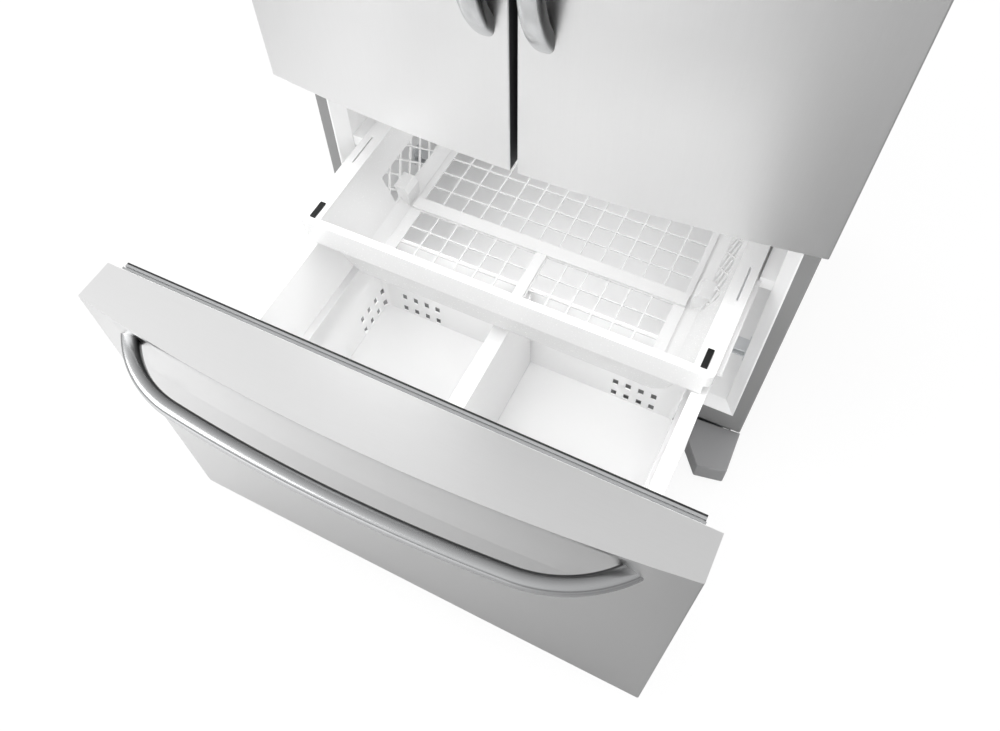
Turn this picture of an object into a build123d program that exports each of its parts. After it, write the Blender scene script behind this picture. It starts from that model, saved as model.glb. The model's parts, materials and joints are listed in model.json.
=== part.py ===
from build123d import *
from math import sqrt
import os

# Bottom freezer refrigerator with two upper doors and a pull-out freezer drawer.
# Millimetres. X runs to the viewer's right, Y towards the back, Z up.
# The origin lies on the floor, under the middle of the case's front edge.
# The drawer stands DRAWER_OPEN forward of shut, and the tray TRAY_OPEN.

# ---------------------------------------------------------------- case
CASE_WIDTH = 896
CASE_DEPTH = 672
CASE_BASE = 52
CASE_TOP = 1752
CASE_CORNER = 3
BACK_PANEL = 3
FLANGE_WIDTH = 27.5
SIDE_WALL = 48
TOP_WALL = 52
BACK_WALL = 97
FLOOR_WALL = 66
MULLION_DROP = 56
MULLION_RISE = 50
LINER = 2.5
MOUTH_DEPTH = 22
MOUTH_RISE = 12
PANEL_RIB = 3
PANEL_RIB_WIDTH = 14
PANEL_RIB_PITCH = 150
PANEL_RIB_MARGIN = 80
WALL_RIB = 8
WALL_RIB_HEIGHT = 6
FLOOR_RUNNER_X = 50

# ---------------------------------------------------------------- machine bay
BAY_DEPTH = 248
HUMP_SLOPE = 22
HUMP_RISE = 204
BAY_WALL = 26
BAY_SIDE = 20
BASE_PLATE = 3
RAIL_WIDTH = 30
RAIL_HEIGHT = 26
RAIL_INSET = 33
RAIL_METAL = 3
EAR_RADIUS = 8
BAY_CENTRE_DEPTH = 110
COMPRESSOR_X = -180
CAN_RADIUS = 80
CAN_HEIGHT = 150
CAN_DOME = 34
CAN_STEP = 4
GROMMET = 18
GROMMET_HEIGHT = 9
PLATE_LENGTH = 206
PLATE_WIDTH = 130
PLATE_CORNER = 12
PIPE_LENGTH = 44
PIPE = 8
CONDENSER_X = (130, 300)
CONDENSER_HALF_DEPTH = 50
CONDENSER_LIFT = 50
CONDENSER_HEIGHT = 130
SHROUD_WIDTH = 150
SHROUD_DEPTH = 14
SHROUD_METAL = 3
SPINDLE_RADIUS = 2
FAN_X = 60
FAN_LIFT = 98
FREEZER_FAN_DEPTH = 39
FREEZER_FAN_DROP = 60
EVAPORATOR_SIDE = 150
EVAPORATOR_REAR = 7
EVAPORATOR_DEPTH = 56
EVAPORATOR_LIFT = 14
EVAPORATOR_FAN_ROOM = 18
EVAPORATOR_COVER_DEPTH = 75
EVAPORATOR_COVER = 6
VENT_PITCH = 120
VENT_ROW = 24
VENT_HEIGHT = 9
FAN_RADIUS = 58
FAN_HUB = 17
FAN_DEPTH = 22
FIN = 2
FIN_PITCH = 40
TUBE_RADIUS = 4
TUBE_STUB = 8
FIN_PLAY = 6

# ---------------------------------------------------------------- fronts
FRONT_OVERHANG = 4.5
FRONT_THICKNESS = 65
FRONT_BOW = 32
FRONT_EDGE = 3
SEAL_GAP = 15.7
DOOR_GAP = 11
DRAWER_BASE = 73.4
DRAWER_HEIGHT = 618.6
DOOR_LIFT = 12
DOOR_HEADROOM = 4
DRAWER_OPEN = 487.4
INNER_PANEL = 3
PANEL_INSET = 12
PANEL_RAISE_INSET = 30

# ---------------------------------------------------------------- seals
SEAL_WIDTH = 11
SEAL_NECK = 5
SEAL_BEAD = 9
SEAL_BASE = 3
SEAL_NECK_DEPTH = 2.6
SEAT = 0.3
SEAL_INSET = 21.5
DRAWER_SEAL_INSET_TOP = 4
SEAL_INSET_GAP = 8
SEAL_INSET_DOOR = 20
SEAL_INSET_DRAWER_BASE = 14.6

# ---------------------------------------------------------------- handles
HANDLE_DEPTH = 23.5
HANDLE_HEIGHT = 24
HANDLE_ROUND = 6
HANDLE_BEND = 139
HANDLE_FOOT_RADIUS = 206
HANDLE_FOOT_SWEEP = 54
HANDLE_FLARE = 15.5
HANDLE_SHOULDER = 84
HANDLE_CROWN = 96
DRAWER_HANDLE_MARGIN = 63.5
DRAWER_HANDLE_DROP = 50
DOOR_HANDLE_LOW = 211
DOOR_HANDLE_HEADROOM = 109
DOOR_HANDLE_X = 41
DOOR_HANDLE_SHOULDER = 54
DOOR_HANDLE_CROWN = 62
DOOR_HANDLE_WIDTH = 32
DOOR_HANDLE_DEPTH = 26

# ---------------------------------------------------------------- grip pocket
POCKET_LIP = 7
POCKET_HEIGHT = 122
POCKET_DEPTH = 14
POCKET_END = 48

# ---------------------------------------------------------------- freezer bin
BIN_WALL = 2.5
BIN_FLOOR = 3
BIN_HEADROOM = 182
BIN_LIFT = 6
BIN_SIDE_ROOM = 51
BIN_TAPER = 24
BIN_FRONT = 8
BIN_OVERLAP = 8
BIN_DRAFT = 14
BIN_SHOULDER = 15
BIN_LIP = 21
BIN_LIP_THICKNESS = 4
BIN_LIP_SKIRT = 14
BIN_BACK_DROP = 94
DIVIDER_WIDTH = 30
BIN_HOLE = 11
BIN_HOLE_HEIGHT = 17
BIN_HOLE_PITCH = 26
BIN_HOLE_RISE = 37
BIN_HOLE_LOW = 14
BIN_HOLE_MARGIN = 89
BIN_SIDE_HOLE_MARGIN = 70

# ---------------------------------------------------------------- drawer slides
SLIDE_LENGTH = 410
SLIDE_START = 20
SLIDE_SIDE_ROOM = 62
SLIDE_HEIGHT = 46
SLIDE_THICKNESS = 12.5
SLIDE_METAL = 1.5
SLIDE_PLAY = 0.3
SLIDE_LIFT = 130
CARRIER = 2
CARRIER_FLANGE = 18

# ---------------------------------------------------------------- upper tray
TRAY_SIDE_ROOM = 28
TRAY_FRONT = 14
TRAY_DEPTH = 440
TRAY_HEADROOM = 126
TRAY_HEIGHT = 140
TRAY_SKIRT = 52
TRAY_WALL = 3
TRAY_BODY_INSET = 32
TRAY_BODY_FRONT = 10
TRAY_BODY_REAR = 8
TRAY_TAPER_Y = 20
TRAY_FLOOR_INSET = 90
TRAY_COVE_INSET = 69
TRAY_COVE_RISE = 18
TRAY_COVE_TOP = 108
TRAY_SIDE_RIM = 28
TRAY_LEDGE = 8
TRAY_OPEN = 213
MESH_PITCH = 41
MESH_WIRE = 3
MESH_ROWS = 4
MESH_THICKNESS = 3
MESH_LEDGE = 6
MESH_BEAM = 27
MESH_SPINE = 19
MESH_BEAM_RISE = 5
RUNNER_WIDTH = 8
RUNNER_THICKNESS = 4
RUNNER_DROP = 24
TRAY_RAIL_WIDTH = 24
TRAY_RAIL_HEIGHT = 24
LATTICE_PITCH = 28
LATTICE_BAR = 3
LATTICE_LENGTH = 168
LATTICE_START = 190
LATTICE_RISE = 22
LATTICE_HEIGHT = 58
BLOCK_LENGTH = 40
BLOCK_START = 207
BLOCK_RISE = 30
RIM_SLOT_LENGTH = 72
RIM_SLOT_WIDTH = 3
RIM_SLOT_INSET = 15
RIM_SLOT_START = 154
LATCH_INSET = 20
LATCH_FRONT = 13
LATCH_WIDTH = 10
LATCH_LENGTH = 36
LATCH_HEIGHT = 12
LATCH_PROUD = 3

# ---------------------------------------------------------------- hinges
HINGE_INSET = 22.5
HINGE_Y = -38
PIN_RADIUS = 5
RUNNING_FIT = 0.05
PIN_LENGTH = 22
HINGE_PLATE = 5
HINGE_WIDTH = 40
HINGE_LENGTH = 112
HINGE_CORNER = 8
HINGE_TAB_METAL = 4
COVER_WALL = 2.5
COVER_HEIGHT = 26
COVER_WIDTH = 58
COVER_LENGTH = 152

# ---------------------------------------------------------------- door furniture
DYKE_INSET_GAP = 28.5
DYKE_SIDE = 8
DYKE_LIFT = 62
DYKE_HEADROOM = 60
DYKE_WALL = 16
DYKE_DEPTH = 63
DYKE_DRAFT = 1.5
DYKE_CORNER = 26
BIN_SHELF_DEPTH = 96
BIN_SHELF_HEIGHT = 110
BIN_SHELF_LIFT = 26
BIN_SHELF_PITCH = 290
BIN_LEDGE = 14
BIN_LEDGE_LENGTH = 56
BIN_LEDGE_HEIGHT = 7
FLAP_LEFT = -32
FLAP_RIGHT = 1
FLAP_THICKNESS = 16
FLAP_PIVOT_X = -24
FLAP_END = 34

# ---------------------------------------------------------------- fresh food shelves
SHELF_FRONT = 130
SHELF_LIFT = 376
SHELF_PITCH = 270
SHELF_HEADROOM = 230
SHELF_FRAME = 14
SHELF_BORDER = 18
GLASS = 4
CRISPER_FRONT = 140
CRISPER_LENGTH = 400
CRISPER_HEIGHT = 238
CRISPER_WALL = 3
CRISPER_COVER_LIFT = 250
CRISPER_COVER = 12
RUNNER_RIB = 4

HOUSING_Y = (64, 220)
HOUSING_HALF = 190
HOUSING_DROP = 46
DIAL_X = 80
DIAL_Y = 110
DIAL_RADIUS = 24
DIAL_HEIGHT = 15
DIAL_SKIRT = 4
DIAL_STEM = 3
LENS_WIDTH = 170
LENS_DEPTH = 90
LENS_Y = 320
LENS_DROP = 20
LENS_CORNER = 12

# ---------------------------------------------------------------- feet
ROLLER_RADIUS = 18
ROLLER_WIDTH = 20
ROLLER_FRONT_Y = 60
ROLLER_REAR = 62
AXLE_RADIUS = 4
ROLLER_LIFT = 1
LEG_INSET = 38
LEG_Y = -45
LEG_PAD = 16
LEG_STEM = 5
LEG_PAD_HEIGHT = 6
LEG_HEXAGON = 7
LEG_TAB = 18
LEG_TAB_METAL = 5
FOOT_GAP = 1
FOOT_BASE = 6
FOOT_WALL = 2.5

# ---------------------------------------------------------------- derived places
CASE_HALF = CASE_WIDTH / 2
INNER_HALF = CASE_HALF - SIDE_WALL
MOUTH_HALF = CASE_HALF - FLANGE_WIDTH
FRONT_WIDTH = CASE_WIDTH + 2 * FRONT_OVERHANG
FRONT_HALF = FRONT_WIDTH / 2
FRONT_BACK = -SEAL_GAP
FRONT_CORNER = FRONT_BACK - FRONT_THICKNESS
DRAWER_TOP = DRAWER_BASE + DRAWER_HEIGHT
DOOR_BASE = DRAWER_TOP + DOOR_LIFT
DOOR_TOP = CASE_TOP - DOOR_HEADROOM
HINGE_X = FRONT_HALF - HINGE_INSET
PANEL_FACE = FRONT_BACK + INNER_PANEL
LINER_BACK = CASE_DEPTH - BACK_WALL
FREEZER_FLOOR = CASE_BASE + FLOOR_WALL
FREEZER_CEILING = DRAWER_TOP - MULLION_DROP
FRESH_FLOOR = DOOR_BASE + MULLION_RISE
FRESH_CEILING = CASE_TOP - TOP_WALL
HUMP_FRONT = CASE_DEPTH - BAY_DEPTH
HUMP_TOP = FREEZER_FLOOR + HUMP_RISE
BAY_FRONT = HUMP_FRONT + HUMP_SLOPE + BAY_WALL
BAY_TOP = HUMP_TOP - BAY_WALL
BASE_RAIL_BASE = CASE_BASE - RAIL_HEIGHT
MULLION_BASE = FREEZER_CEILING + LINER
MULLION_TOP = FRESH_FLOOR - LINER
CASE_BODY_DEPTH = CASE_DEPTH - BACK_PANEL
BAY_HALF = CASE_HALF - BAY_SIDE
BAY_CENTRE_Y = CASE_DEPTH - BAY_CENTRE_DEPTH
RAIL_X = CASE_HALF - RAIL_INSET
CONDENSER_Z = (CASE_BASE + CONDENSER_LIFT, CASE_BASE + CONDENSER_LIFT + CONDENSER_HEIGHT)
FAN_PLACE = (FAN_X, BAY_CENTRE_Y, CASE_BASE + FAN_LIFT)
FREEZER_FAN_PLACE = (0, LINER_BACK - FREEZER_FAN_DEPTH, FREEZER_CEILING - FREEZER_FAN_DROP)
EVAPORATOR_X = (EVAPORATOR_SIDE - INNER_HALF, INNER_HALF - EVAPORATOR_SIDE)
EVAPORATOR_Y = (LINER_BACK - EVAPORATOR_REAR - EVAPORATOR_DEPTH, LINER_BACK - EVAPORATOR_REAR)
EVAPORATOR_TOP = FREEZER_FAN_PLACE[2] - FAN_RADIUS - EVAPORATOR_FAN_ROOM
EVAPORATOR_Z = (HUMP_TOP + EVAPORATOR_LIFT, EVAPORATOR_TOP)
EVAPORATOR_COVER_Y = LINER_BACK - EVAPORATOR_COVER_DEPTH
DRAWER_HANDLE_HALF = FRONT_HALF - DRAWER_HANDLE_MARGIN
DOOR_HANDLE_BASE = DOOR_BASE + DOOR_HANDLE_LOW
DOOR_HANDLE_HALF = (DOOR_TOP - DOOR_HANDLE_HEADROOM - DOOR_HANDLE_BASE) / 2
DOOR_HANDLE_CENTRE = DOOR_HANDLE_BASE + DOOR_HANDLE_HALF
BIN_RIM = FREEZER_CEILING - BIN_HEADROOM
BIN_BASE = FREEZER_FLOOR + BIN_LIFT
BIN_BACK_TOP = BIN_RIM - BIN_BACK_DROP
BIN_TOP_HALF = INNER_HALF - BIN_SIDE_ROOM
BIN_BASE_HALF = BIN_TOP_HALF - BIN_TAPER
BIN_BACK = HUMP_FRONT + BIN_OVERLAP
BIN_HOLE_X = BIN_BASE_HALF - BIN_HOLE_MARGIN
BIN_SIDE_HOLE_Y = BIN_BACK - BIN_SIDE_HOLE_MARGIN
SLIDE_X = INNER_HALF - SLIDE_SIDE_ROOM
SLIDE_BASE = FREEZER_FLOOR + SLIDE_LIFT
TRAY_HALF = INNER_HALF - TRAY_SIDE_ROOM
TRAY_RIM = FREEZER_CEILING - TRAY_HEADROOM
TRAY_BASE = TRAY_RIM - TRAY_HEIGHT
TRAY_FLOOR_HALF = TRAY_HALF - TRAY_FLOOR_INSET
TRAY_COVE_HALF = TRAY_HALF - TRAY_COVE_INSET
RUNNER_BASE = TRAY_RIM - RUNNER_DROP
LATTICE_LOW = TRAY_BASE + LATTICE_RISE
LATTICE_HIGH = LATTICE_LOW + LATTICE_HEIGHT
LATCH_X = TRAY_HALF - LATCH_INSET
HOUSING_BASE = FRESH_CEILING - HOUSING_DROP
DOOR_DYKE_Z = (DOOR_BASE + DYKE_LIFT, DOOR_TOP - DYKE_HEADROOM)
DOOR_DYKE_FAR = INNER_HALF - DYKE_SIDE
BIN_SHELF_REACH = DOOR_DYKE_Z[1] - DOOR_DYKE_Z[0] - 2 * DYKE_WALL - BIN_SHELF_HEIGHT
BIN_SHELF_COUNT = 1 + int((BIN_SHELF_REACH - BIN_SHELF_LIFT) / BIN_SHELF_PITCH)
BIN_SHELF_LEVELS = [BIN_SHELF_LIFT + BIN_SHELF_PITCH * step for step in range(BIN_SHELF_COUNT)]
CRISPER_COVER_BASE = FRESH_FLOOR + CRISPER_COVER_LIFT
SHELF_BASE = FRESH_FLOOR + SHELF_LIFT
SHELF_COUNT = 1 + int((FRESH_CEILING - SHELF_HEADROOM - SHELF_BASE) / SHELF_PITCH)
SHELF_LEVELS = [SHELF_BASE + SHELF_PITCH * step for step in range(SHELF_COUNT)]
ROLLER_BACK_Y = CASE_DEPTH - ROLLER_REAR
LEG_X = CASE_HALF - LEG_INSET
FOOT_TOP = CASE_BASE - FOOT_GAP

os.makedirs("parts", exist_ok=True)


def save(piece, name):
    """Label a finished sub-part and write it as one STEP file."""
    piece.part.label = name
    export_step(piece.part, f"parts/{name}.step")


def face_y(x, bow):
    """Y of a bowed front at x, for the shut pose: an arc across the whole width."""
    radius = (FRONT_HALF**2 + bow**2) / (2 * bow)
    return FRONT_CORNER - bow + radius - sqrt(radius**2 - x**2)


def box_between(low, high, mode=Mode.ADD):
    """Box from one corner to the other, in the active part."""
    size = [b - a for a, b in zip(low, high)]
    middle = [(a + b) / 2 for a, b in zip(low, high)]
    with Locations(tuple(middle)):
        Box(*size, mode=mode)


def frame_outline(x_range, z_range, width):
    """Rectangular ring in the active XZ sketch."""
    x_mid = sum(x_range) / 2
    z_mid = sum(z_range) / 2
    span = x_range[1] - x_range[0]
    rise = z_range[1] - z_range[0]
    with Locations((x_mid, z_mid)):
        Rectangle(span, rise)
        Rectangle(span - 2 * width, rise - 2 * width, mode=Mode.SUBTRACT)


def at_y(y):
    """XZ plane at a depth y, whose extrusions run forward."""
    return Plane.XZ.offset(-y)


def side_range(side, near, far):
    """X range of a piece on one side, given its distances from the middle."""
    return tuple(sorted((side * near, side * far)))


# ================================================================ case
def compartment(outline, low, high, grow):
    """Space inside a liner, with its flared mouth, grown by one wall thickness."""
    flare = MOUTH_HALF - INNER_HALF
    with BuildPart() as space:
        with BuildSketch(Plane.YZ) as section:
            with BuildLine():
                Polyline(*outline, close=True)
            make_face()
            if grow > 0:
                offset(amount=grow, kind=Kind.INTERSECTION)
        extrude(amount=INNER_HALF + grow, both=True)
        with Locations((-MOUTH_HALF - grow, 0, low - MOUTH_RISE - grow)):
            Wedge(
                2 * (MOUTH_HALF + grow),
                MOUTH_DEPTH,
                high - low + 2 * (MOUTH_RISE + grow),
                flare,
                MOUTH_RISE,
                flare + 2 * (INNER_HALF + grow),
                MOUTH_RISE + high - low + 2 * grow,
                align=None,
            )
        split(bisect_by=Plane.XZ, keep=Keep.BOTTOM)
    return space


FRESH_OUTLINE = (
    (0, FRESH_FLOOR),
    (LINER_BACK, FRESH_FLOOR),
    (LINER_BACK, FRESH_CEILING),
    (0, FRESH_CEILING),
)
FREEZER_OUTLINE = (
    (0, FREEZER_FLOOR),
    (HUMP_FRONT, FREEZER_FLOOR),
    (HUMP_FRONT + HUMP_SLOPE, HUMP_TOP),
    (LINER_BACK, HUMP_TOP),
    (LINER_BACK, FREEZER_CEILING),
    (0, FREEZER_CEILING),
)
fresh_inner = compartment(FRESH_OUTLINE, FRESH_FLOOR, FRESH_CEILING, 0)
fresh_outer = compartment(FRESH_OUTLINE, FRESH_FLOOR, FRESH_CEILING, LINER)
freezer_inner = compartment(FREEZER_OUTLINE, FREEZER_FLOOR, FREEZER_CEILING, 0)
freezer_outer = compartment(FREEZER_OUTLINE, FREEZER_FLOOR, FREEZER_CEILING, LINER)
mullion_half = INNER_HALF + LINER
mullion_back = LINER_BACK + LINER

# Outer steel case with its foam, open at the front and, below, for the machine bay.
with BuildPart() as case_wrapper:
    box_between((-CASE_HALF, 0, CASE_BASE), (CASE_HALF, CASE_BODY_DEPTH, CASE_TOP))
    fillet(case_wrapper.edges().filter_by(Axis.Z), CASE_CORNER)
    add(fresh_outer.part, mode=Mode.SUBTRACT)
    add(freezer_outer.part, mode=Mode.SUBTRACT)
    box_between(
        (-mullion_half, 0, MULLION_BASE), (mullion_half, mullion_back, MULLION_TOP), Mode.SUBTRACT
    )
    box_between(
        (-BAY_HALF, BAY_FRONT, CASE_BASE), (BAY_HALF, CASE_BODY_DEPTH, BAY_TOP), Mode.SUBTRACT
    )
save(case_wrapper, "case_wrapper")

# Divider between the two compartments.
with BuildPart() as mullion:
    box_between((-mullion_half, 0, MULLION_BASE), (mullion_half, mullion_back, MULLION_TOP))
    add(fresh_outer.part, mode=Mode.SUBTRACT)
    add(freezer_outer.part, mode=Mode.SUBTRACT)
save(mullion, "mullion")

# Formed liners. Ribs on the walls carry the shelves, runners on the floor the crispers.
with BuildPart() as fresh_food_liner:
    add(fresh_outer.part)
    add(fresh_inner.part, mode=Mode.SUBTRACT)
    rib_y = (SHELF_FRONT + LINER_BACK) / 2
    rib_length = LINER_BACK - SHELF_FRONT
    for level in (*SHELF_LEVELS, CRISPER_COVER_BASE):
        with Locations((0, rib_y, level - WALL_RIB_HEIGHT / 2)):
            with GridLocations(2 * INNER_HALF - WALL_RIB, 1, 2, 1):
                Box(WALL_RIB, rib_length, WALL_RIB_HEIGHT)
    with Locations((0, rib_y, FRESH_FLOOR + RUNNER_RIB / 2)):
        for spread in (FLOOR_RUNNER_X, INNER_HALF - FLOOR_RUNNER_X):
            with GridLocations(2 * spread, 1, 2, 1):
                Box(WALL_RIB_HEIGHT, 0.93 * rib_length, RUNNER_RIB)
save(fresh_food_liner, "fresh_food_liner")

with BuildPart() as freezer_liner:
    add(freezer_outer.part)
    add(freezer_inner.part, mode=Mode.SUBTRACT)
save(freezer_liner, "freezer_liner")

# Back panel with pressed ribs.
with BuildPart() as back_panel:
    panel_low = BAY_TOP + PANEL_RIB
    box_between(
        (-CASE_HALF, CASE_BODY_DEPTH, panel_low), (CASE_HALF, CASE_DEPTH, CASE_TOP)
    )
    with Locations((0, CASE_DEPTH + PANEL_RIB / 2, (panel_low + CASE_TOP) / 2)):
        with GridLocations(PANEL_RIB_PITCH, 1, 5, 1):
            Box(PANEL_RIB_WIDTH, PANEL_RIB, CASE_TOP - panel_low - 2 * PANEL_RIB_MARGIN)
save(back_panel, "back_panel")


# ================================================================ base and machine bay
ROLLER_PLACES = ((ROLLER_FRONT_Y, ROLLER_RADIUS + ROLLER_LIFT), (ROLLER_BACK_Y, ROLLER_RADIUS))
leg_tab_base = BASE_RAIL_BASE + LEG_TAB_METAL
leg_tab_top = leg_tab_base + LEG_TAB_METAL

# Channel rails with ears and axles for the rollers, a cross member and the bay's floor plate.
with BuildPart() as base_frame:
    for side in (-1, 1):
        with BuildSketch(Plane.XZ):
            with Locations((side * RAIL_X, BASE_RAIL_BASE + RAIL_HEIGHT / 2)):
                Rectangle(RAIL_WIDTH, RAIL_HEIGHT)
            with Locations((side * RAIL_X, BASE_RAIL_BASE + (RAIL_HEIGHT - RAIL_METAL) / 2)):
                Rectangle(
                    RAIL_WIDTH - 2 * RAIL_METAL, RAIL_HEIGHT - RAIL_METAL, mode=Mode.SUBTRACT
                )
        extrude(amount=-CASE_BODY_DEPTH)
        for start in (RAIL_X - RAIL_WIDTH / 2, RAIL_X + RAIL_WIDTH / 2 - RAIL_METAL):
            ear = side_range(side, start, start + RAIL_METAL)
            for y, z in ROLLER_PLACES:
                with BuildSketch(Plane.YZ.offset(ear[0])):
                    with Locations((y, (z - EAR_RADIUS + CASE_BASE) / 2)):
                        Rectangle(2 * EAR_RADIUS, CASE_BASE - z + EAR_RADIUS)
                extrude(amount=RAIL_METAL)
        tab = side_range(side, LEG_X - RAIL_WIDTH / 2, LEG_X + RAIL_WIDTH / 2)
        box_between((tab[0], LEG_Y - LEG_TAB, leg_tab_base), (tab[1], RAIL_METAL, leg_tab_top))
        clip_top = FOOT_TOP - FOOT_WALL - 2 - SEAT
        box_between((tab[0] + 4, -6, leg_tab_top - 1), (tab[1] - 4, -3, clip_top))
    box_between((-RAIL_X, 4, BASE_RAIL_BASE + 6), (RAIL_X, 4 + RAIL_METAL, CASE_BASE))
    box_between(
        (-RAIL_X, BAY_FRONT, CASE_BASE - BASE_PLATE), (RAIL_X, CASE_BODY_DEPTH, CASE_BASE)
    )
    for side in (-1, 1):
        with Locations((side * LEG_X, LEG_Y, leg_tab_base)):
            Cylinder(LEG_STEM + RUNNING_FIT, RAIL_HEIGHT, mode=Mode.SUBTRACT)
        for y, z in ROLLER_PLACES:
            with Locations(Location((side * RAIL_X, y, z), (0, 90, 0))):
                Cylinder(AXLE_RADIUS, RAIL_WIDTH)
save(base_frame, "base_frame")


def roller(side, place):
    """Roller with a flat tread, bored for its axle."""
    y, z = place
    with BuildPart() as wheel:
        with Locations(Location((side * RAIL_X, y, z), (0, 90, 0))):
            Cylinder(ROLLER_RADIUS, ROLLER_WIDTH)
            Cylinder(AXLE_RADIUS + RUNNING_FIT, 2 * ROLLER_WIDTH, mode=Mode.SUBTRACT)
    return wheel


for side, side_name in ((-1, "left"), (1, "right")):
    for place, place_name in zip(ROLLER_PLACES, ("front", "rear")):
        save(roller(side, place), f"{place_name}_roller_{side_name}")


def levelling_leg(side):
    """Screw-in leg: round pad, hexagon for the spanner and a plain stem."""
    with BuildPart() as leg:
        with BuildSketch():
            with Locations((side * LEG_X, LEG_Y)):
                Circle(LEG_PAD)
        extrude(amount=LEG_PAD_HEIGHT)
        with BuildSketch(Plane.XY.offset(LEG_PAD_HEIGHT)):
            with Locations((side * LEG_X, LEG_Y)):
                RegularPolygon(LEG_STEM + 3, 6)
        extrude(amount=LEG_HEXAGON)
        with BuildSketch(Plane.XY.offset(LEG_PAD_HEIGHT + LEG_HEXAGON)):
            with Locations((side * LEG_X, LEG_Y)):
                Circle(LEG_STEM)
        extrude(amount=leg_tab_top - LEG_PAD_HEIGHT - LEG_HEXAGON)
    return leg


save(levelling_leg(-1), "levelling_leg_left")
save(levelling_leg(1), "levelling_leg_right")

# Faceted covers over the front feet, hollow and open at the bottom and the back.
FOOT_OUTLINE = ((-87, -5), (1.5, -3), (4, -93), (-52, -104), (-86, -61))
FOOT_PLAN = [(CASE_HALF + x, y) for x, y in FOOT_OUTLINE]


def foot_cover(side):
    """Cover of one front foot; its plan is mirrored for the other side."""
    corners = [(side * x, y) for x, y in FOOT_PLAN]
    with BuildPart() as cover:
        with BuildSketch(Plane.XY.offset(FOOT_BASE)) as plan:
            with BuildLine():
                Polyline(*corners, close=True)
            make_face()
            fillet(plan.vertices().filter_by_position(Axis.Y, -120, -50), 4)
        extrude(amount=FOOT_TOP - FOOT_BASE)
        chamfer(cover.faces().sort_by(Axis.Z)[-1].outer_wire().edges(), 1.5)
        with BuildSketch(Plane.XY.offset(FOOT_BASE)):
            with BuildLine():
                Polyline(*corners, close=True)
            make_face()
            offset(amount=-FOOT_WALL, kind=Kind.INTERSECTION)
        extrude(amount=FOOT_TOP - FOOT_BASE - FOOT_WALL, mode=Mode.SUBTRACT)
        back = side_range(side, FOOT_PLAN[0][0] + FOOT_WALL + 3, FOOT_PLAN[1][0] - FOOT_WALL - 3)
        box_between(
            (back[0], -12, FOOT_BASE), (back[1], 0, FOOT_TOP - FOOT_WALL - 2), Mode.SUBTRACT
        )
    return cover


foot_cover_pair = (foot_cover(-1), foot_cover(1))
with BuildPart() as foot_covers:
    for piece in foot_cover_pair:
        add(piece.part)
save(foot_covers, "foot_covers")

# Louvred toe grille between the foot covers.
with BuildPart() as toe_grille:
    grille_half = FOOT_PLAN[0][0] - 3
    grille_low = 10
    grille_high = CASE_BASE - 2
    grille_mid = (grille_low + grille_high) / 2
    box_between((-grille_half, -12, grille_low), (grille_half, 4 - SEAT, grille_high))
    chamfer(toe_grille.edges().filter_by(Axis.X).group_by(Axis.Y)[0], 3)
    box_between(
        (-grille_half + 2.5, -9.5, grille_low + 2.5), (grille_half - 2.5, 4, grille_high - 2.5),
        Mode.SUBTRACT,
    )
    with BuildSketch(at_y(-12)):
        with Locations((0, grille_mid)):
            with GridLocations(2 * grille_half / 8, 12, 8, 2):
                Rectangle(2 * grille_half / 8 - 10, 6)
    extrude(amount=-5, mode=Mode.SUBTRACT)
save(toe_grille, "toe_grille")


def fin_block(x_range, y_range, z_range, tube_rows, tube_columns):
    """Heat exchanger: thin fins on a core of tube passes, with tube stubs at both ends."""
    count = int((x_range[1] - x_range[0]) / FIN_PITCH) + 1
    middle = [sum(r) / 2 for r in (x_range, y_range, z_range)]
    depth = y_range[1] - y_range[0]
    rise = z_range[1] - z_range[0]
    length = x_range[1] - x_range[0]
    with BuildPart() as block:
        with Locations(tuple(middle)):
            with GridLocations(1, depth / tube_columns, 1, tube_columns):
                Box(length, 2 * TUBE_RADIUS, rise - 2 * TUBE_RADIUS)
            with GridLocations(FIN_PITCH, 1, count, 1):
                Box(FIN, depth, rise)
        with BuildSketch(Plane.YZ.offset(x_range[0] - TUBE_STUB)):
            with Locations((middle[1], middle[2])):
                with GridLocations(
                    depth / tube_columns, rise / tube_rows, tube_columns, tube_rows
                ):
                    RegularPolygon(TUBE_RADIUS, 6)
        extrude(amount=TUBE_STUB)
        with BuildSketch(Plane.YZ.offset(x_range[1])):
            with Locations((middle[1], middle[2])):
                with GridLocations(
                    depth / tube_columns, rise / tube_rows, tube_columns, tube_rows
                ):
                    RegularPolygon(TUBE_RADIUS, 6)
        extrude(amount=TUBE_STUB)
    return block


def fan(centre, direction):
    """Axial fan: a chamfered hub with pitched blades, turning about the given axis."""
    blades = 5
    with BuildPart() as rotor:
        Cylinder(FAN_HUB, FAN_DEPTH)
        chamfer(rotor.faces().sort_by(Axis.Z)[-1].edges(), 5)
        with PolarLocations(0, blades):
            with Locations(Location(((FAN_HUB + FAN_RADIUS) / 2 - 2, 0, 0), (35, 0, 0))):
                Box(FAN_RADIUS - FAN_HUB, FAN_DEPTH, 1.6)
        Cylinder(SPINDLE_RADIUS + RUNNING_FIT, 2 * FAN_DEPTH, mode=Mode.SUBTRACT)
    turn = (0, 90, 0) if direction == "x" else (-90, 0, 0)
    with BuildPart() as placed:
        add(rotor.part.moved(Location(centre, turn)))
    return placed


save(fan(FAN_PLACE, "x"), "condenser_fan")
save(fan(FREEZER_FAN_PLACE, "y"), "evaporator_fan")

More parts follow.
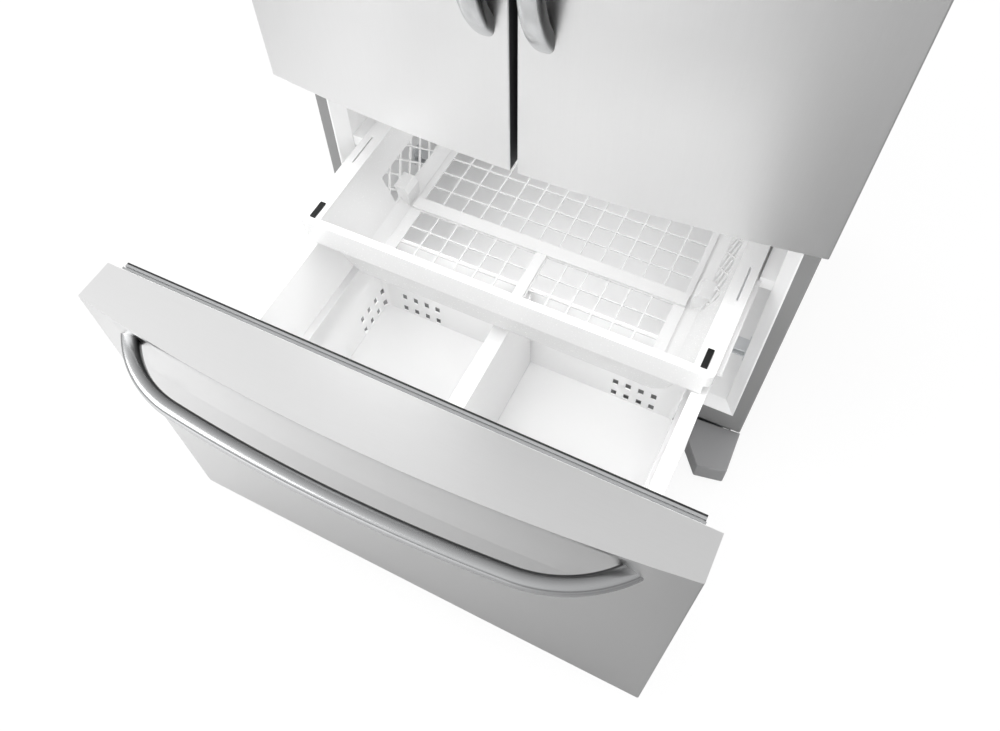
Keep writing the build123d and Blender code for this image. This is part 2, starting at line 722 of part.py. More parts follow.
# Hermetic compressor: a two-part can with a stepped seam, on a mounting plate and grommets.
with BuildPart() as compressor:
    can_low = CASE_BASE + GROMMET_HEIGHT + CAN_STEP - 1
    can_high = can_low + CAN_HEIGHT
    can_mid = (can_low + can_high) / 2
    with BuildSketch(Plane.XZ.offset(-BAY_CENTRE_Y)):
        with BuildLine():
            Polyline(
                (COMPRESSOR_X, can_low),
                (COMPRESSOR_X + CAN_RADIUS, can_low),
                (COMPRESSOR_X + CAN_RADIUS, can_mid),
                (COMPRESSOR_X + CAN_RADIUS - CAN_STEP, can_mid + CAN_STEP),
                (COMPRESSOR_X + CAN_RADIUS - CAN_STEP, can_high - CAN_DOME / 2),
                (COMPRESSOR_X + CAN_RADIUS - CAN_DOME, can_high),
                (COMPRESSOR_X, can_high),
                close=True,
            )
        make_face()
    revolve(axis=Axis((COMPRESSOR_X, BAY_CENTRE_Y, 0), (0, 0, 1)))
    with BuildSketch(Plane.XY.offset(CASE_BASE + GROMMET_HEIGHT)) as plate:
        with Locations((COMPRESSOR_X, BAY_CENTRE_Y)):
            Rectangle(PLATE_LENGTH, PLATE_WIDTH)
            chamfer(plate.vertices(), PLATE_CORNER)
    extrude(amount=CAN_STEP)
    with Locations((COMPRESSOR_X, BAY_CENTRE_Y, CASE_BASE + GROMMET_HEIGHT / 2)):
        with GridLocations(PLATE_LENGTH - 1.5 * GROMMET, PLATE_WIDTH - 1.5 * GROMMET, 2, 2):
            Box(GROMMET, GROMMET, GROMMET_HEIGHT)
    with Locations((COMPRESSOR_X + CAN_RADIUS + PIPE_LENGTH / 4, BAY_CENTRE_Y, can_mid - CAN_DOME)):
        Box(PIPE_LENGTH, PIPE, PIPE)
save(compressor, "compressor")

# Condenser coil, with the feet that stand it on the floor plate.
condenser_y = (BAY_CENTRE_Y - CONDENSER_HALF_DEPTH, BAY_CENTRE_Y + CONDENSER_HALF_DEPTH)
condenser_core = fin_block(CONDENSER_X, condenser_y, CONDENSER_Z, 3, 2)
with BuildPart() as condenser:
    add(condenser_core.part)
    for x in (CONDENSER_X[0] - FIN_PLAY, CONDENSER_X[1] + FIN_PLAY - FIN):
        box_between((x, condenser_y[0], CASE_BASE), (x + FIN, condenser_y[1], CONDENSER_Z[1]))
save(condenser, "condenser")

# Round-mouthed shroud with the arms that hold the fan's spindle.
with BuildPart() as fan_shroud:
    shroud_x = FAN_PLACE[0]
    shroud_top = BAY_TOP - 10
    with BuildSketch(Plane.YZ.offset(shroud_x + SHROUD_DEPTH)):
        with Locations((BAY_CENTRE_Y, (CASE_BASE + shroud_top) / 2)):
            Rectangle(SHROUD_WIDTH, shroud_top - CASE_BASE)
        with Locations((FAN_PLACE[1], FAN_PLACE[2])):
            Circle(FAN_RADIUS + SHROUD_METAL, mode=Mode.SUBTRACT)
    extrude(amount=SHROUD_METAL)
    with BuildSketch(Plane.YZ.offset(shroud_x - SHROUD_DEPTH)):
        with Locations((FAN_PLACE[1], FAN_PLACE[2])):
            Circle(FAN_RADIUS + 2 * SHROUD_METAL)
            Circle(FAN_RADIUS + SHROUD_METAL, mode=Mode.SUBTRACT)
    extrude(amount=2 * SHROUD_DEPTH + 1)
    with BuildSketch(Plane.YZ.offset(shroud_x + SHROUD_DEPTH + SHROUD_METAL)):
        with Locations((FAN_PLACE[1], FAN_PLACE[2])):
            Circle(FAN_HUB + SPINDLE_RADIUS)
            with PolarLocations(0, 3):
                with Locations(((FAN_RADIUS + FAN_HUB) / 2, 0)):
                    Rectangle(FAN_RADIUS - FAN_HUB + 14, 8)
    extrude(amount=4)
    with Locations(Location((shroud_x + 4, FAN_PLACE[1], FAN_PLACE[2]), (0, 90, 0))):
        Cylinder(SPINDLE_RADIUS, 2 * SHROUD_DEPTH)
save(fan_shroud, "fan_shroud")


def tub_form(base, top, z_range, inset, radius, rounded=True):
    """Tapered block between two outlines (x0, x1, y0, y1), drawn in by an inset."""
    left, right, front, back = base
    corner = (left + inset, back - inset, z_range[0])
    with BuildPart() as form:
        with Locations(Location(corner, (90, 0, 0))):
            Wedge(
                right - left - 2 * inset,
                z_range[1] - z_range[0],
                back - front - 2 * inset,
                top[0] - left,
                back - top[3],
                top[1] - left - 2 * inset,
                back - top[2] - 2 * inset,
                align=None,
            )
        level = form.faces().filter_by(Axis.Z).edges()
        if rounded:
            fillet(form.edges() - level, radius - inset)
        else:
            chamfer(form.edges() - level, radius - 0.6 * inset)
    return form


def tub(base, top, z_range, wall, floor):
    """Open-topped tapered tub with cut corners and an even wall."""
    corner = 3 * wall
    outside = tub_form(base, top, z_range, 0, corner, False)
    inside = tub_form(base, top, (z_range[0] + floor, z_range[1]), wall, corner, False)
    with BuildPart() as vessel:
        add(outside.part)
        add(inside.part, mode=Mode.SUBTRACT)
    return vessel


# Pan under the condenser that catches the defrost water.
pan_base = (CONDENSER_X[0] + 2, CONDENSER_X[1] - 2, condenser_y[0] + 2, condenser_y[1] - 2)
pan_top = (CONDENSER_X[0], CONDENSER_X[1], condenser_y[0], condenser_y[1])
pan_tub = tub(pan_base, pan_top, (CASE_BASE, CONDENSER_Z[0] - 12), 2, 2)
with BuildPart() as drain_pan:
    add(pan_tub.part)
save(drain_pan, "drain_pan")

# Louvred cover that closes the machine bay at the back.
with BuildPart() as rear_cover:
    cover_half = BAY_HALF + 12
    cover_low = CASE_BASE + 4
    cover_mid = (cover_low + BAY_TOP) / 2
    box_between((-cover_half, CASE_BODY_DEPTH, cover_low), (cover_half, CASE_DEPTH, BAY_TOP))
    with BuildSketch(at_y(CASE_BODY_DEPTH)):
        for x in (-cover_half / 2, cover_half / 2):
            with Locations((x, cover_mid)):
                with GridLocations(40, 1, 8, 1):
                    Rectangle(12, 170)
    extrude(amount=-2 * BACK_PANEL, mode=Mode.SUBTRACT)
save(rear_cover, "rear_cover")

# Freezer evaporator and the vented cover in front of it.
evaporator_core = fin_block(EVAPORATOR_X, EVAPORATOR_Y, EVAPORATOR_Z, 3, 1)
with BuildPart() as evaporator:
    add(evaporator_core.part)
    for x in (EVAPORATOR_X[0] - FIN_PLAY, EVAPORATOR_X[1] + FIN_PLAY - FIN):
        box_between(
            (x, EVAPORATOR_COVER_Y + EVAPORATOR_COVER, HUMP_TOP),
            (x + FIN, EVAPORATOR_Y[1], EVAPORATOR_Z[1]),
        )
save(evaporator, "evaporator")

with BuildPart() as evaporator_cover:
    cover_back = EVAPORATOR_COVER_Y + EVAPORATOR_COVER
    box_between(
        (-INNER_HALF + 1, EVAPORATOR_COVER_Y, HUMP_TOP),
        (INNER_HALF - 1, cover_back, FREEZER_CEILING),
    )
    fan_x, fan_y, fan_z = FREEZER_FAN_PLACE
    with BuildSketch(at_y(EVAPORATOR_COVER_Y)):
        with Locations((0, HUMP_TOP + 38)):
            with GridLocations(VENT_PITCH, VENT_ROW, 5, 2):
                Rectangle(VENT_PITCH - 20, VENT_HEIGHT)
        with Locations((fan_x, fan_z)):
            with PolarLocations(2 * FAN_HUB - 2, 6):
                Rectangle(2 * FAN_HUB, VENT_HEIGHT)
        for side in (-1, 1):
            with Locations((side * EVAPORATOR_X[1], fan_z)):
                with GridLocations(VENT_ROW, 1, 5, 1):
                    Rectangle(VENT_HEIGHT, FAN_RADIUS)
    extrude(amount=-EVAPORATOR_COVER, mode=Mode.SUBTRACT)
    with BuildSketch(at_y(cover_back)):
        with Locations((fan_x, fan_z)):
            Circle(12)
    extrude(amount=-14)
    with BuildSketch(at_y(cover_back)):
        with Locations((fan_x, fan_z)):
            Circle(SPINDLE_RADIUS)
    extrude(amount=-fan_y + cover_back - FAN_DEPTH / 2)
save(evaporator_cover, "evaporator_cover")

# ================================================================ doors and drawer front
def door_shell(side):
    """Foamed door skin: its front follows the arc that spans both doors."""
    near = side * DOOR_GAP / 2
    far = side * FRONT_HALF
    middle = (near + far) / 2
    with BuildPart() as shell:
        with BuildSketch(Plane.XY.offset(DOOR_BASE)) as plan:
            with BuildLine():
                Polyline(
                    (near, face_y(near, FRONT_BOW)),
                    (near, FRONT_BACK),
                    (far, FRONT_BACK),
                    (far, FRONT_CORNER),
                )
                ThreePointArc(
                    (far, FRONT_CORNER),
                    (middle, face_y(middle, FRONT_BOW)),
                    (near, face_y(near, FRONT_BOW)),
                )
            make_face()
            fillet(plan.vertices().filter_by_position(Axis.Y, -200, FRONT_BACK - 1), FRONT_EDGE)
        extrude(amount=DOOR_TOP - DOOR_BASE)
        for z in (DOOR_BASE, DOOR_TOP):
            with Locations((side * HINGE_X, HINGE_Y, z)):
                Cylinder(PIN_RADIUS + RUNNING_FIT, 2 * PIN_LENGTH + 2, mode=Mode.SUBTRACT)
    return shell


save(door_shell(-1), "left_door_shell")
save(door_shell(1), "right_door_shell")

# The drawer front bows fully at its top edge and runs out to straight at its foot.
drawer_back = FRONT_BACK - DRAWER_OPEN
drawer_corner = FRONT_CORNER - DRAWER_OPEN
with BuildPart() as drawer_front_blank:
    for z, bow in ((DRAWER_BASE, 1), (DRAWER_TOP, FRONT_BOW)):
        with BuildSketch(Plane.XY.offset(z)) as plan:
            with BuildLine():
                Polyline(
                    (FRONT_HALF, drawer_corner),
                    (FRONT_HALF, drawer_back),
                    (-FRONT_HALF, drawer_back),
                    (-FRONT_HALF, drawer_corner),
                )
                ThreePointArc(
                    (-FRONT_HALF, drawer_corner),
                    (0, drawer_corner - bow),
                    (FRONT_HALF, drawer_corner),
                )
            make_face()
            fillet(
                plan.vertices().filter_by_position(Axis.Y, -900, drawer_corner + 1), FRONT_EDGE
            )
    loft(ruled=True)


def front_at(x, z):
    """Y of the open drawer's face at a point, from the arc of its level."""
    bow = 1 + (FRONT_BOW - 1) * (z - DRAWER_BASE) / DRAWER_HEIGHT
    return face_y(x, bow) - DRAWER_OPEN


def pocket_span(stations, ruled):
    """Cutter for a span of the grip pocket, lofted through sections (x, depth)."""
    high = DRAWER_TOP - POCKET_LIP
    low = high - POCKET_HEIGHT
    with BuildPart() as span:
        for x, depth in stations:
            top = front_at(x, high) + depth
            foot = front_at(x, low) + depth / POCKET_DEPTH - 1
            with BuildSketch(Plane.YZ.offset(x)):
                with BuildLine():
                    ThreePointArc(
                        (top, high),
                        (0.25 * foot + 0.75 * top, (high + low) / 2 + 6),
                        (foot, low),
                    )
                    Polyline((foot, low), (foot - 70, low), (foot - 70, high), (top, high))
                make_face()
        loft(ruled=ruled)
    return span


pocket_flat = DRAWER_HANDLE_HALF - POCKET_END
pocket_pieces = [
    pocket_span([(k * pocket_flat, POCKET_DEPTH) for k in (-1, 0, 1)], False)
]
for side in (-1, 1):
    ends = [(side * pocket_flat, POCKET_DEPTH), (side * (DRAWER_HANDLE_HALF + 6), -2)]
    pocket_pieces.append(pocket_span(ends, True))

with BuildPart() as drawer_front:
    add(drawer_front_blank.part)
    for piece in pocket_pieces:
        add(piece.part, mode=Mode.SUBTRACT)
save(drawer_front, "drawer_front")


def bow_handle(plane, half, shoulder, crown, depth, width):
    """Bar that bows out from its ends: a middle arc runs into a tangent arc at each foot."""
    bend = half - HANDLE_BEND
    foot = HANDLE_FOOT_RADIUS
    inner_foot = foot - depth - HANDLE_FLARE
    sweep_angle = HANDLE_FOOT_SWEEP
    back = shoulder - depth
    with BuildPart() as bar:
        with BuildSketch(plane):
            with BuildLine():
                outer = ThreePointArc((-bend, -shoulder), (0, -crown), (bend, -shoulder))
                right = JernArc(outer @ 1, outer % 1, foot, sweep_angle)
                left = JernArc(outer @ 0, outer % 0 * -1, foot, -sweep_angle)
                inner = ThreePointArc((-bend, -back), (0, depth - crown), (bend, -back))
                inner_right = JernArc(inner @ 1, inner % 1, inner_foot, sweep_angle)
                inner_left = JernArc(inner @ 0, inner % 0 * -1, inner_foot, -sweep_angle)
                Line(right @ 1, inner_right @ 1)
                Line(left @ 1, inner_left @ 1)
            make_face()
        extrude(amount=width / 2, both=True)
        across = Axis(plane.origin, plane.z_dir)
        ends = bar.faces().sort_by(across)
        chamfer(ends[0].edges() + ends[-1].edges(), HANDLE_ROUND)
    return bar


handle_z = DRAWER_TOP - DRAWER_HANDLE_DROP
drawer_bar = bow_handle(
    Plane((0, drawer_corner, handle_z)),
    DRAWER_HANDLE_HALF,
    HANDLE_SHOULDER,
    HANDLE_CROWN,
    HANDLE_DEPTH,
    HANDLE_HEIGHT,
)
with BuildPart() as drawer_handle:
    add(drawer_bar.part)
    add(drawer_front.part, mode=Mode.SUBTRACT)
save(drawer_handle, "drawer_handle")


def door_handle(side, shell):
    """Upright bar beside the gap between the doors, its feet cut to the door's face."""
    x = side * DOOR_HANDLE_X
    bar = bow_handle(
        Plane((x, face_y(x, FRONT_BOW), DOOR_HANDLE_CENTRE), x_dir=(0, 0, 1), z_dir=(-1, 0, 0)),
        DOOR_HANDLE_HALF,
        DOOR_HANDLE_SHOULDER,
        DOOR_HANDLE_CROWN,
        DOOR_HANDLE_DEPTH,
        DOOR_HANDLE_WIDTH,
    )
    with BuildPart() as handle:
        add(bar.part)
        add(shell.part, mode=Mode.SUBTRACT)
    return handle


save(door_handle(-1, door_shell(-1)), "left_door_handle")
save(door_handle(1, door_shell(1)), "right_door_handle")


def seal(x_range, z_range, back):
    """Magnetic seal ring: a flange, a narrow neck and a bead, so grooves run round it."""
    rings = (
        (SEAL_WIDTH, SEAL_BASE),
        (SEAL_NECK, SEAL_NECK_DEPTH),
        (SEAL_BEAD, SEAL_GAP - INNER_PANEL - SEAT - SEAL_BASE - SEAL_NECK_DEPTH),
    )
    with BuildPart() as ring:
        y = back
        for width, depth in rings:
            inset = (SEAL_WIDTH - width) / 2
            with BuildSketch(at_y(y)):
                frame_outline(
                    (x_range[0] + inset, x_range[1] - inset),
                    (z_range[0] + inset, z_range[1] - inset),
                    width,
                )
            extrude(amount=-depth)
            y += depth
    return ring


def dyke(x_range, z_range):
    """Raised rim of a door liner, with a draft and rounded corners."""
    width = x_range[1] - x_range[0]
    height = z_range[1] - z_range[0]
    with BuildPart() as rim:
        for inset, draft in ((0, DYKE_DRAFT), (DYKE_WALL, -DYKE_DRAFT)):
            with BuildPart(mode=Mode.SUBTRACT if inset else Mode.ADD) as body:
                with Locations((x_range[0] + inset, PANEL_FACE, z_range[0] + inset)):
                    Wedge(
                        width - 2 * inset,
                        DYKE_DEPTH,
                        height - 2 * inset,
                        draft,
                        draft,
                        width - 2 * inset - draft,
                        height - 2 * inset - draft,
                        align=None,
                    )
                level = body.faces().filter_by(Axis.Y).edges()
                fillet(body.edges() - level, DYKE_CORNER - inset)
    return rim


DOOR_SEAL_Z = (DOOR_BASE + SEAL_INSET_DOOR, DOOR_TOP - SEAL_INSET_DOOR)


def door_liner(side, extras):
    """Inner panel of a door with its raised rim and the ledges that carry the bins."""
    panel_x = side_range(side, DOOR_GAP / 2 + PANEL_INSET / 3, FRONT_HALF - PANEL_INSET)
    rim_x = side_range(side, DOOR_GAP / 2 + DYKE_INSET_GAP, DOOR_DYKE_FAR)
    rim = dyke(rim_x, DOOR_DYKE_Z)
    with BuildPart() as liner:
        box_between(
            (panel_x[0], FRONT_BACK, DOOR_BASE + PANEL_INSET / 3),
            (panel_x[1], PANEL_FACE, DOOR_TOP - PANEL_INSET / 3),
        )
        for z in (DOOR_BASE, DOOR_TOP):
            with Locations((side * HINGE_X, HINGE_Y, z)):
                Cylinder(PIN_RADIUS + 2, 2 * PIN_LENGTH + 2, mode=Mode.SUBTRACT)
        add(rim.part)
        for level in BIN_SHELF_LEVELS:
            z = DOOR_DYKE_Z[0] + level - BIN_LEDGE_HEIGHT / 2
            spread = rim_x[1] - rim_x[0] - 2 * DYKE_WALL - BIN_LEDGE + 4
            with Locations((sum(rim_x) / 2, PANEL_FACE + BIN_LEDGE_LENGTH / 2, z)):
                with GridLocations(spread, 1, 2, 1):
                    Box(BIN_LEDGE, BIN_LEDGE_LENGTH, BIN_LEDGE_HEIGHT)
        for piece in extras:
            add(piece.part)
    return liner


def door_seal(side):
    """Seal of one door."""
    x_range = side_range(side, DOOR_GAP / 2 + SEAL_INSET_GAP, FRONT_HALF - SEAL_INSET)
    return seal(x_range, DOOR_SEAL_Z, PANEL_FACE)


def door_bins(side):
    """Bins that hang one above the other between the walls of the door's rim."""
    near = DOOR_GAP / 2 + DYKE_INSET_GAP + DYKE_WALL + 1.5
    far = DOOR_DYKE_FAR - DYKE_WALL - 1.5
    x0, x1 = side_range(side, near, far)
    y0 = PANEL_FACE + SEAT
    tubs = []
    for level in BIN_SHELF_LEVELS:
        low = DOOR_DYKE_Z[0] + level
        base = (x0 + 1, x1 - 1, y0, y0 + BIN_SHELF_DEPTH - 8)
        top = (x0, x1, y0, y0 + BIN_SHELF_DEPTH)
        tubs.append(tub(base, top, (low, low + BIN_SHELF_HEIGHT), 3, 3))
    with BuildPart() as bins:
        for piece in tubs:
            add(piece.part)
    return bins


# Bar on the left door that folds back beside the door's rim.
FLAP_Y = (1, 1 + FLAP_THICKNESS)
FLAP_PIVOT_Y = 9
FLAP_Z = (DOOR_DYKE_Z[0] + FLAP_END, DOOR_DYKE_Z[1] - FLAP_END)
FLAP_PIN = 3
with BuildPart() as flip_mullion:
    with BuildSketch(Plane.XY.offset(FLAP_Z[0])) as plan:
        with Locations(((FLAP_LEFT + FLAP_RIGHT) / 2, sum(FLAP_Y) / 2)):
            Rectangle(FLAP_RIGHT - FLAP_LEFT, FLAP_THICKNESS)
            chamfer(plan.vertices().group_by(Axis.X)[0], 4)
            chamfer(plan.vertices().group_by(Axis.X)[-1], 1.5)
    extrude(amount=FLAP_Z[1] - FLAP_Z[0])
    for z in FLAP_Z:
        with Locations((FLAP_PIVOT_X, FLAP_PIVOT_Y, z)):
            Cylinder(FLAP_PIN + RUNNING_FIT, 24, mode=Mode.SUBTRACT)
save(flip_mullion, "flip_mullion")

# Brackets with pins on the left door's rim that hold the folding bar.
with BuildPart() as flip_brackets:
    rim_side = -(DOOR_GAP / 2 + DYKE_INSET_GAP)
    for z, direction in ((FLAP_Z[0] - SEAT, -1), (FLAP_Z[1] + SEAT, 1)):
        low = min(z, z + 3 * direction)
        box_between((rim_side - 3, 2, low), (FLAP_PIVOT_X + 6, 16, low + 3))
        with Locations((FLAP_PIVOT_X, FLAP_PIVOT_Y, z - 4 * direction)):
            Cylinder(FLAP_PIN, 14)


for side, side_name, extras in ((-1, "left", (flip_brackets,)), (1, "right", ())):
    save(door_liner(side, extras), f"{side_name}_door_liner")
    save(door_seal(side), f"{side_name}_door_gasket")
    save(door_bins(side), f"{side_name}_door_bins")

# ================================================================ hinges
# Top plates with pins, and brackets on the case between the doors and the drawer.
bracket_low = DRAWER_TOP + 3
bracket_high = bracket_low + HINGE_PLATE
with BuildPart() as door_hinges:
    for side in (-1, 1):
        with BuildSketch(Plane.XY.offset(CASE_TOP)) as plate:
            with Locations((side * (HINGE_X - 4), 8)):
                Rectangle(HINGE_WIDTH, HINGE_LENGTH)
                chamfer(plate.vertices(), HINGE_CORNER)
        extrude(amount=HINGE_PLATE)
        with Locations((side * HINGE_X, HINGE_Y, CASE_TOP + HINGE_PLATE - PIN_LENGTH / 2)):
            Cylinder(PIN_RADIUS, PIN_LENGTH)
        with BuildSketch(Plane.XY.offset(bracket_low)) as plate:
            with Locations((side * (HINGE_X - 4), (HINGE_Y - 14) / 2)):
                Rectangle(HINGE_WIDTH, -HINGE_Y + 14)
                chamfer(plate.vertices().group_by(Axis.Y)[0], HINGE_CORNER)
        extrude(amount=HINGE_PLATE)
        tab = side_range(side, HINGE_X - 24, HINGE_X + 10)
        box_between((tab[0], -HINGE_TAB_METAL, bracket_low - 2), (tab[1], 0, bracket_high + 16))
        with Locations((side * HINGE_X, HINGE_Y, bracket_low + (PIN_LENGTH + 6) / 2)):
            Cylinder(PIN_RADIUS, PIN_LENGTH + 6)
save(door_hinges, "door_hinges")

# Moulded caps over the top hinges.
with BuildPart() as hinge_covers:
    for side in (-1, 1):
        for inset, mode in ((0, Mode.ADD), (COVER_WALL, Mode.SUBTRACT)):
            with BuildSketch(Plane.XY.offset(CASE_TOP)) as plan:
                with Locations((side * (HINGE_X - 8), -8)):
                    Rectangle(COVER_WIDTH - 2 * inset, COVER_LENGTH - 2 * inset)
                    chamfer(plan.vertices(), HINGE_CORNER - inset)
            extrude(amount=COVER_HEIGHT - inset, taper=6, mode=mode)
save(hinge_covers, "hinge_covers")


# ================================================================ fresh food compartment
shelf_near = 3
shelf_far = INNER_HALF - 2
shelf_back = LINER_BACK - 15

# Moulded shelf frames; each has two brackets that hook into the tracks at the back.
with BuildPart() as shelf_frames:
    for level in SHELF_LEVELS:
        for side in (-1, 1):
            x0, x1 = side_range(side, shelf_near, shelf_far)
            x_mid = (x0 + x1) / 2
            y_mid = (SHELF_FRONT + shelf_back) / 2
            span = x1 - x0
            reach = shelf_back - SHELF_FRONT
            with BuildSketch(Plane.XY.offset(level)) as plan:
                with Locations((x_mid, y_mid)):
                    Rectangle(span, reach)
                    chamfer(plan.vertices(), 5)
                    Rectangle(
                        span - 2 * SHELF_BORDER, reach - 2 * SHELF_BORDER, mode=Mode.SUBTRACT
                    )
            extrude(amount=SHELF_FRAME)
            with BuildSketch(Plane.XY.offset(level + SHELF_FRAME - GLASS)):
                with Locations((x_mid, y_mid)):
                    Rectangle(span - SHELF_BORDER, reach - SHELF_BORDER)
            extrude(amount=GLASS, mode=Mode.SUBTRACT)
            for x in (x0 + 12, x1 - 15):
                with BuildSketch(Plane.YZ.offset(x)):
                    with BuildLine():
                        Polyline(
                            (SHELF_FRONT + 60, level + 1),
                            (LINER_BACK - SEAT, level + 1),
                            (LINER_BACK - SEAT, level - 44),
                            (LINER_BACK - 40, level - 44),
                            close=True,
                        )
                    make_face()
                extrude(amount=3)
save(shelf_frames, "shelf_frames")

with BuildPart() as glass_shelves:
    for level in SHELF_LEVELS:
        for side in (-1, 1):
            x0, x1 = side_range(side, shelf_near, shelf_far)
            inset = SHELF_BORDER / 2 + SEAT
            box_between(
                (x0 + inset, SHELF_FRONT + inset, level + SHELF_FRAME - GLASS),
                (x1 - inset, shelf_back - inset, level + SHELF_FRAME),
            )
save(glass_shelves, "glass_shelves")

# Cover over the crispers, resting on the liner's ribs.
with BuildPart() as crisper_cover:
    box_between(
        (-INNER_HALF + 2, SHELF_FRONT - 10, CRISPER_COVER_BASE),
        (INNER_HALF - 2, shelf_back, CRISPER_COVER_BASE + CRISPER_COVER),
    )
    box_between(
        (-5, SHELF_FRONT + 10, FRESH_FLOOR), (5, shelf_back, CRISPER_COVER_BASE)
    )
    fillet(crisper_cover.edges().filter_by(Axis.X).group_by(Axis.Y)[0], 4)
save(crisper_cover, "crisper_cover")


def crisper(side):
    """Drawer tub with a full-width finger pull along its front edge."""
    low = FRESH_FLOOR + RUNNER_RIB
    x0, x1 = side_range(side, 8, INNER_HALF - 4)
    back = CRISPER_FRONT + CRISPER_LENGTH
    body = tub(
        (x0 + 8, x1 - 8, CRISPER_FRONT + 6, back - 8),
        (x0, x1, CRISPER_FRONT, back),
        (low, low + CRISPER_HEIGHT),
        CRISPER_WALL,
        CRISPER_WALL,
    )
    with BuildPart() as drawer:
        add(body.part)
        with BuildSketch(Plane.YZ.offset(x0 + 14)):
            with BuildLine():
                Polyline(
                    (CRISPER_FRONT + 2, low + CRISPER_HEIGHT),
                    (CRISPER_FRONT - 16, low + CRISPER_HEIGHT),
                    (CRISPER_FRONT - 16, low + CRISPER_HEIGHT - 26),
                    (CRISPER_FRONT - 12, low + CRISPER_HEIGHT - 26),
                    (CRISPER_FRONT - 12, low + CRISPER_HEIGHT - 4),
                    (CRISPER_FRONT + 2, low + CRISPER_HEIGHT - 4),
                    close=True,
                )
            make_face()
        extrude(amount=x1 - x0 - 28)
    return drawer


save(crisper(-1), "crisper_left")
save(crisper(1), "crisper_right")

# Ceiling housing with two dials, and the lamp lens behind it.
with BuildPart() as control_housing:
    with BuildSketch(Plane.YZ):
        with BuildLine():
            Polyline(
                (HOUSING_Y[0], FRESH_CEILING),
                (HOUSING_Y[0], HOUSING_BASE + 10),
                (HOUSING_Y[0] + 12, HOUSING_BASE),
                (HOUSING_Y[1] - 60, HOUSING_BASE),
                (HOUSING_Y[1], HOUSING_BASE + 26),
                (HOUSING_Y[1], FRESH_CEILING),
                close=True,
            )
        make_face()
    extrude(amount=HOUSING_HALF, both=True)
    for x in (-DIAL_X, DIAL_X):
        with Locations((x, DIAL_Y, HOUSING_BASE + 8)):
            Cylinder(DIAL_STEM + RUNNING_FIT, 16, mode=Mode.SUBTRACT)
save(control_housing, "control_housing")


def dial(x):
    """Thermostat dial: a skirted knob with a pointer grip, on a spindle."""
    with BuildPart() as knob:
        with BuildSketch(Plane.XY.offset(HOUSING_BASE - SEAT)):
            with Locations((x, DIAL_Y)):
                Circle(DIAL_RADIUS)
        extrude(amount=-DIAL_SKIRT)
        with BuildSketch(Plane.XY.offset(HOUSING_BASE - SEAT - DIAL_HEIGHT)):
            with Locations((x, DIAL_Y)):
                Rectangle(1.6 * DIAL_RADIUS, DIAL_RADIUS / 2)
        extrude(amount=DIAL_HEIGHT - DIAL_SKIRT)
        chamfer(knob.faces().sort_by(Axis.Z)[0].edges(), DIAL_SKIRT / 2)
        with Locations((x, DIAL_Y, HOUSING_BASE + 7)):
            Cylinder(DIAL_STEM, 15)
    return knob


save(dial(-DIAL_X), "fridge_dial")
save(dial(DIAL_X), "freezer_dial")

with BuildPart() as lamp_lens:
    with BuildSketch(Plane.XY.offset(FRESH_CEILING)) as plan:
        with Locations((0, LENS_Y)):
            Rectangle(LENS_WIDTH, LENS_DEPTH)
            chamfer(plan.vertices(), LENS_CORNER)
    extrude(amount=-LENS_DROP, taper=14)
save(lamp_lens, "lamp_lens")

# ================================================================ freezer drawer
with BuildPart() as drawer_inner_panel:
    box_between(
        (-FRONT_HALF + PANEL_INSET, drawer_back, DRAWER_BASE + 5),
        (FRONT_HALF - PANEL_INSET, drawer_back + INNER_PANEL, DRAWER_TOP - 5),
    )
    with BuildSketch(at_y(drawer_back + INNER_PANEL)) as raised:
        with Locations((0, (DRAWER_BASE + DRAWER_TOP) / 2)):
            Rectangle(2 * (MOUTH_HALF - PANEL_RAISE_INSET), DRAWER_HEIGHT - 5 * PANEL_RAISE_INSET)
            chamfer(raised.vertices(), PANEL_RAISE_INSET / 2)
    extrude(amount=-(BIN_FRONT - SEAT - PANEL_FACE), taper=8)
save(drawer_inner_panel, "drawer_inner_panel")

drawer_seal_x = (-FRONT_HALF + SEAL_INSET, FRONT_HALF - SEAL_INSET)
drawer_seal_z = (
    DRAWER_BASE + SEAL_INSET_DRAWER_BASE,
    DRAWER_TOP - DRAWER_SEAL_INSET_TOP,
)
drawer_seal = seal(drawer_seal_x, drawer_seal_z, drawer_back + INNER_PANEL)
with BuildPart() as drawer_gasket:
    add(drawer_seal.part)
save(drawer_gasket, "drawer_gasket")

# Deep lower bin: a narrow foot, a shoulder that rests on the drawer's rails, a flanged rim.
bin_y = (BIN_FRONT - DRAWER_OPEN, BIN_BACK - DRAWER_OPEN)
SHOULDER = SLIDE_BASE + SLIDE_HEIGHT + CARRIER + 1
shoulder_half = BIN_TOP_HALF - BIN_SHOULDER


def bin_body(inset, floor_rise):
    """Solid envelope of the lower bin, drawn in by one wall thickness for its hollow."""
    back_low = bin_y[1] - BIN_DRAFT - inset
    back_high = bin_y[1] - inset
    front = bin_y[0] + inset
    levels = (
        (BIN_BASE + floor_rise, BIN_BASE_HALF, back_low),
        (SHOULDER + floor_rise, shoulder_half, back_high - 6),
    )
    outlines = [(-half + inset, half - inset, front, back) for _, half, back in levels]
    rises = [z for z, _, _ in levels]
    top_half = BIN_TOP_HALF - inset
    upper = [(-top_half, top_half, front, back) for back in (back_high - 6, back_high)]
    foot = tub_form(*outlines, rises, 0, 14 - inset)
    chest = tub_form(*upper, (SHOULDER + floor_rise, BIN_RIM), 0, 14 - inset)
    with BuildPart() as body:
        add(foot.part)
        add(chest.part)
    return body


